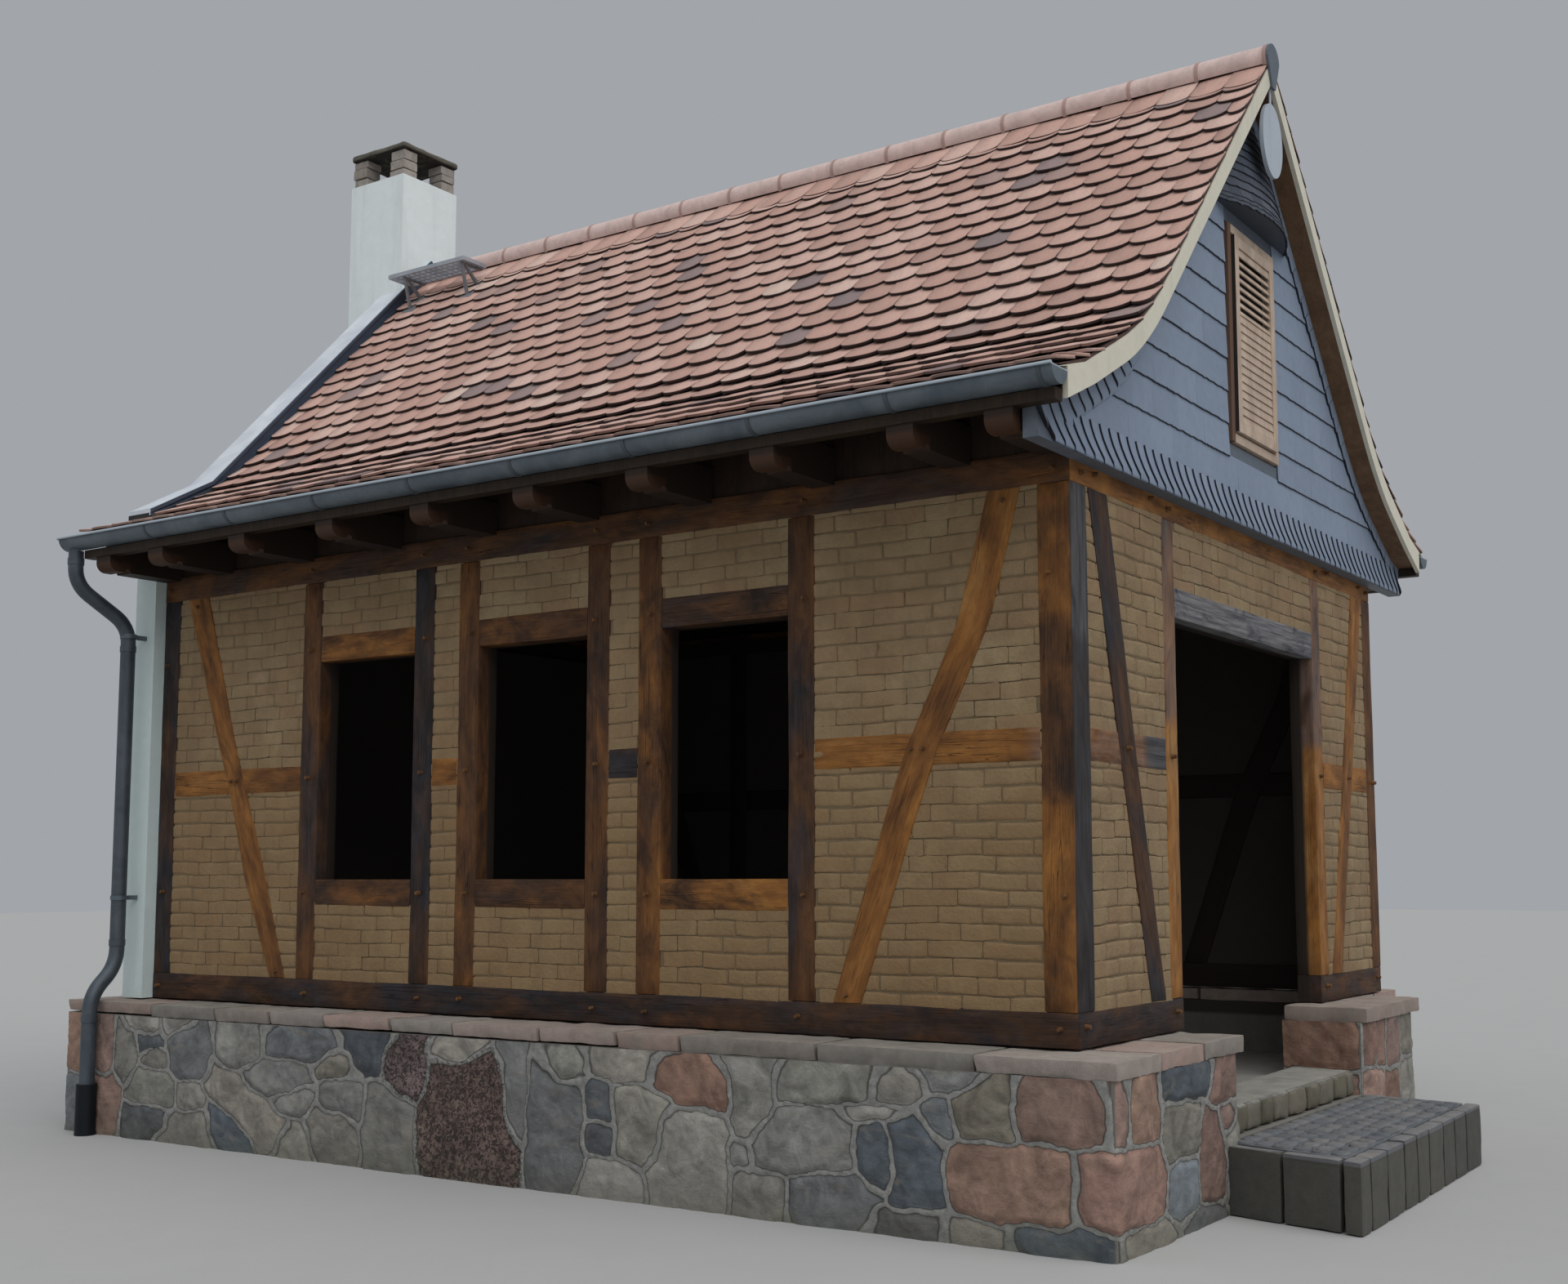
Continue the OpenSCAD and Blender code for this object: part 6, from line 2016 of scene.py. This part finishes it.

# the timbers and boards under the eaves, here and below, are coloured near black: painted shade of the deep
# eaves, over dark wood
EAVES_SHADE = ((0.046, 0.028, 0.020), (0.018, 0.012, 0.010))
BY_NODE = {
    # bands on the joists: the outer ends lighter, painted light where they reach out of the eaves' shade,
    # over the wood's own colour; the upper part and the part within the walls' line darker, painted shade
    "ceiling_joists": plain_wood_material("shaded joists", *EAVES_SHADE, bands=(
        ("Y", -2.60, -2.43, 0.02, (0.060, 0.029, 0.017)), ("Y", 2.43, 2.60, 0.02, (0.060, 0.029, 0.017)),
        ("Z", 3.320, 3.50, 0.02, (0.030, 0.019, 0.014)), ("Y", -2.42, 2.42, 0.02, (0.028, 0.019, 0.015)))),
    "eaves_filling": plain_wood_material("shaded boards", *EAVES_SHADE),
    "eaves_boards": plain_wood_material("eaves boards", (0.038, 0.024, 0.014), (0.016, 0.011, 0.008)),
    "roof_boarding": plain_wood_material("roof boards", (0.050, 0.033, 0.023), (0.020, 0.014, 0.011)),
    "sprockets": plain_wood_material("shaded rafter feet", *EAVES_SHADE),
    "rafters": plain_wood_material("rafters", (0.10, 0.062, 0.038), (0.045, 0.028, 0.018)),
    "verge_soffit": plain_wood_material("verge soffit", (0.190, 0.110, 0.060), (0.095, 0.054, 0.030)),
    # the dark band is painted shade on the casing board at the shutter's near side
    "louvred_shutter": plain_wood_material("pale shutter wood", (0.560, 0.440, 0.345),
                                           (0.350, 0.262, 0.200), checks=0.1,
                                           bands=(("Y", -0.400, -0.3125, 0.002, (0.130, 0.075, 0.052)),)),
    # the dark band is painted shade on the cap's apron, which faces the gable
    "parapet_cap": zinc_material("pale sheet cap", (0.600, 0.645, 0.700), (0.740, 0.780, 0.820), (
        ("X", -3.0, -2.9, 0.002, (0.050, 0.070, 0.105)),)),
    "step_grating": zinc_material("galvanized grating", (0.300, 0.325, 0.365), (0.440, 0.465, 0.510)),
    "grating_brackets": zinc_material("galvanized brackets", (0.150, 0.155, 0.165), (0.240, 0.245, 0.260)),
    # the white render made darker and greener: painted shade under the eaves
    "fire_wall": mineral_material(
        "fire wall render", (0.63, 0.73, 0.72), 0.006, 0.06, 0.0012, 0.95, 0.05, 0.10),
    "downpipe": zinc_material("dark zinc pipe", (0.050, 0.064, 0.080), (0.092, 0.112, 0.130)),
    "gable_hood": mineral_material("hood slate", (0.040, 0.050, 0.066), 0.004, 0.2, 0.001, 0.6, 0.05, 0.05),
    "gable_slating": mineral_material(
        "slate boards", (0.100, 0.120, 0.150), 0.004, 0.2, 0.001, 0.6, 0.05, 0.05),
}


def dress_cad_nodes():
    """Every CAD node that stays in view gets its own finish, or else the finish of its material slot."""
    slots = {part["node"]: part["material_slot"] for part in frame["record"]["subparts"]}
    for node, made in frame["nodes"].items():
        finish = BY_NODE.get(node, PLAIN[slots[node]])
        made.data.materials.clear()
        made.data.materials.append(finish)


dress_cad_nodes()
build_timbers(oak)
build_bricks(brick_finish)
build_plinth(rubble_finish)
build_coping(coping_finish)
build_roof_tiles(tile_finish, under_tile)
build_slates(slate_finish, hood_finish)
build_chimney(pier_finish, cap_finish)
build_platform(sett_finish, edge_finish, tread_finish)
build_gutter_straps(strap_finish)
build_downpipe(BY_NODE["downpipe"])
build_verge_strip(PLAIN["painted_board"])
build_shutter(BY_NODE["louvred_shutter"], shadow_finish)
build_ridge_rims(ridge_finish)
build_cap_edge(cap_edge_finish)
build_pegs(PLAIN["oak_timber"])
build_studio()
build_camera()
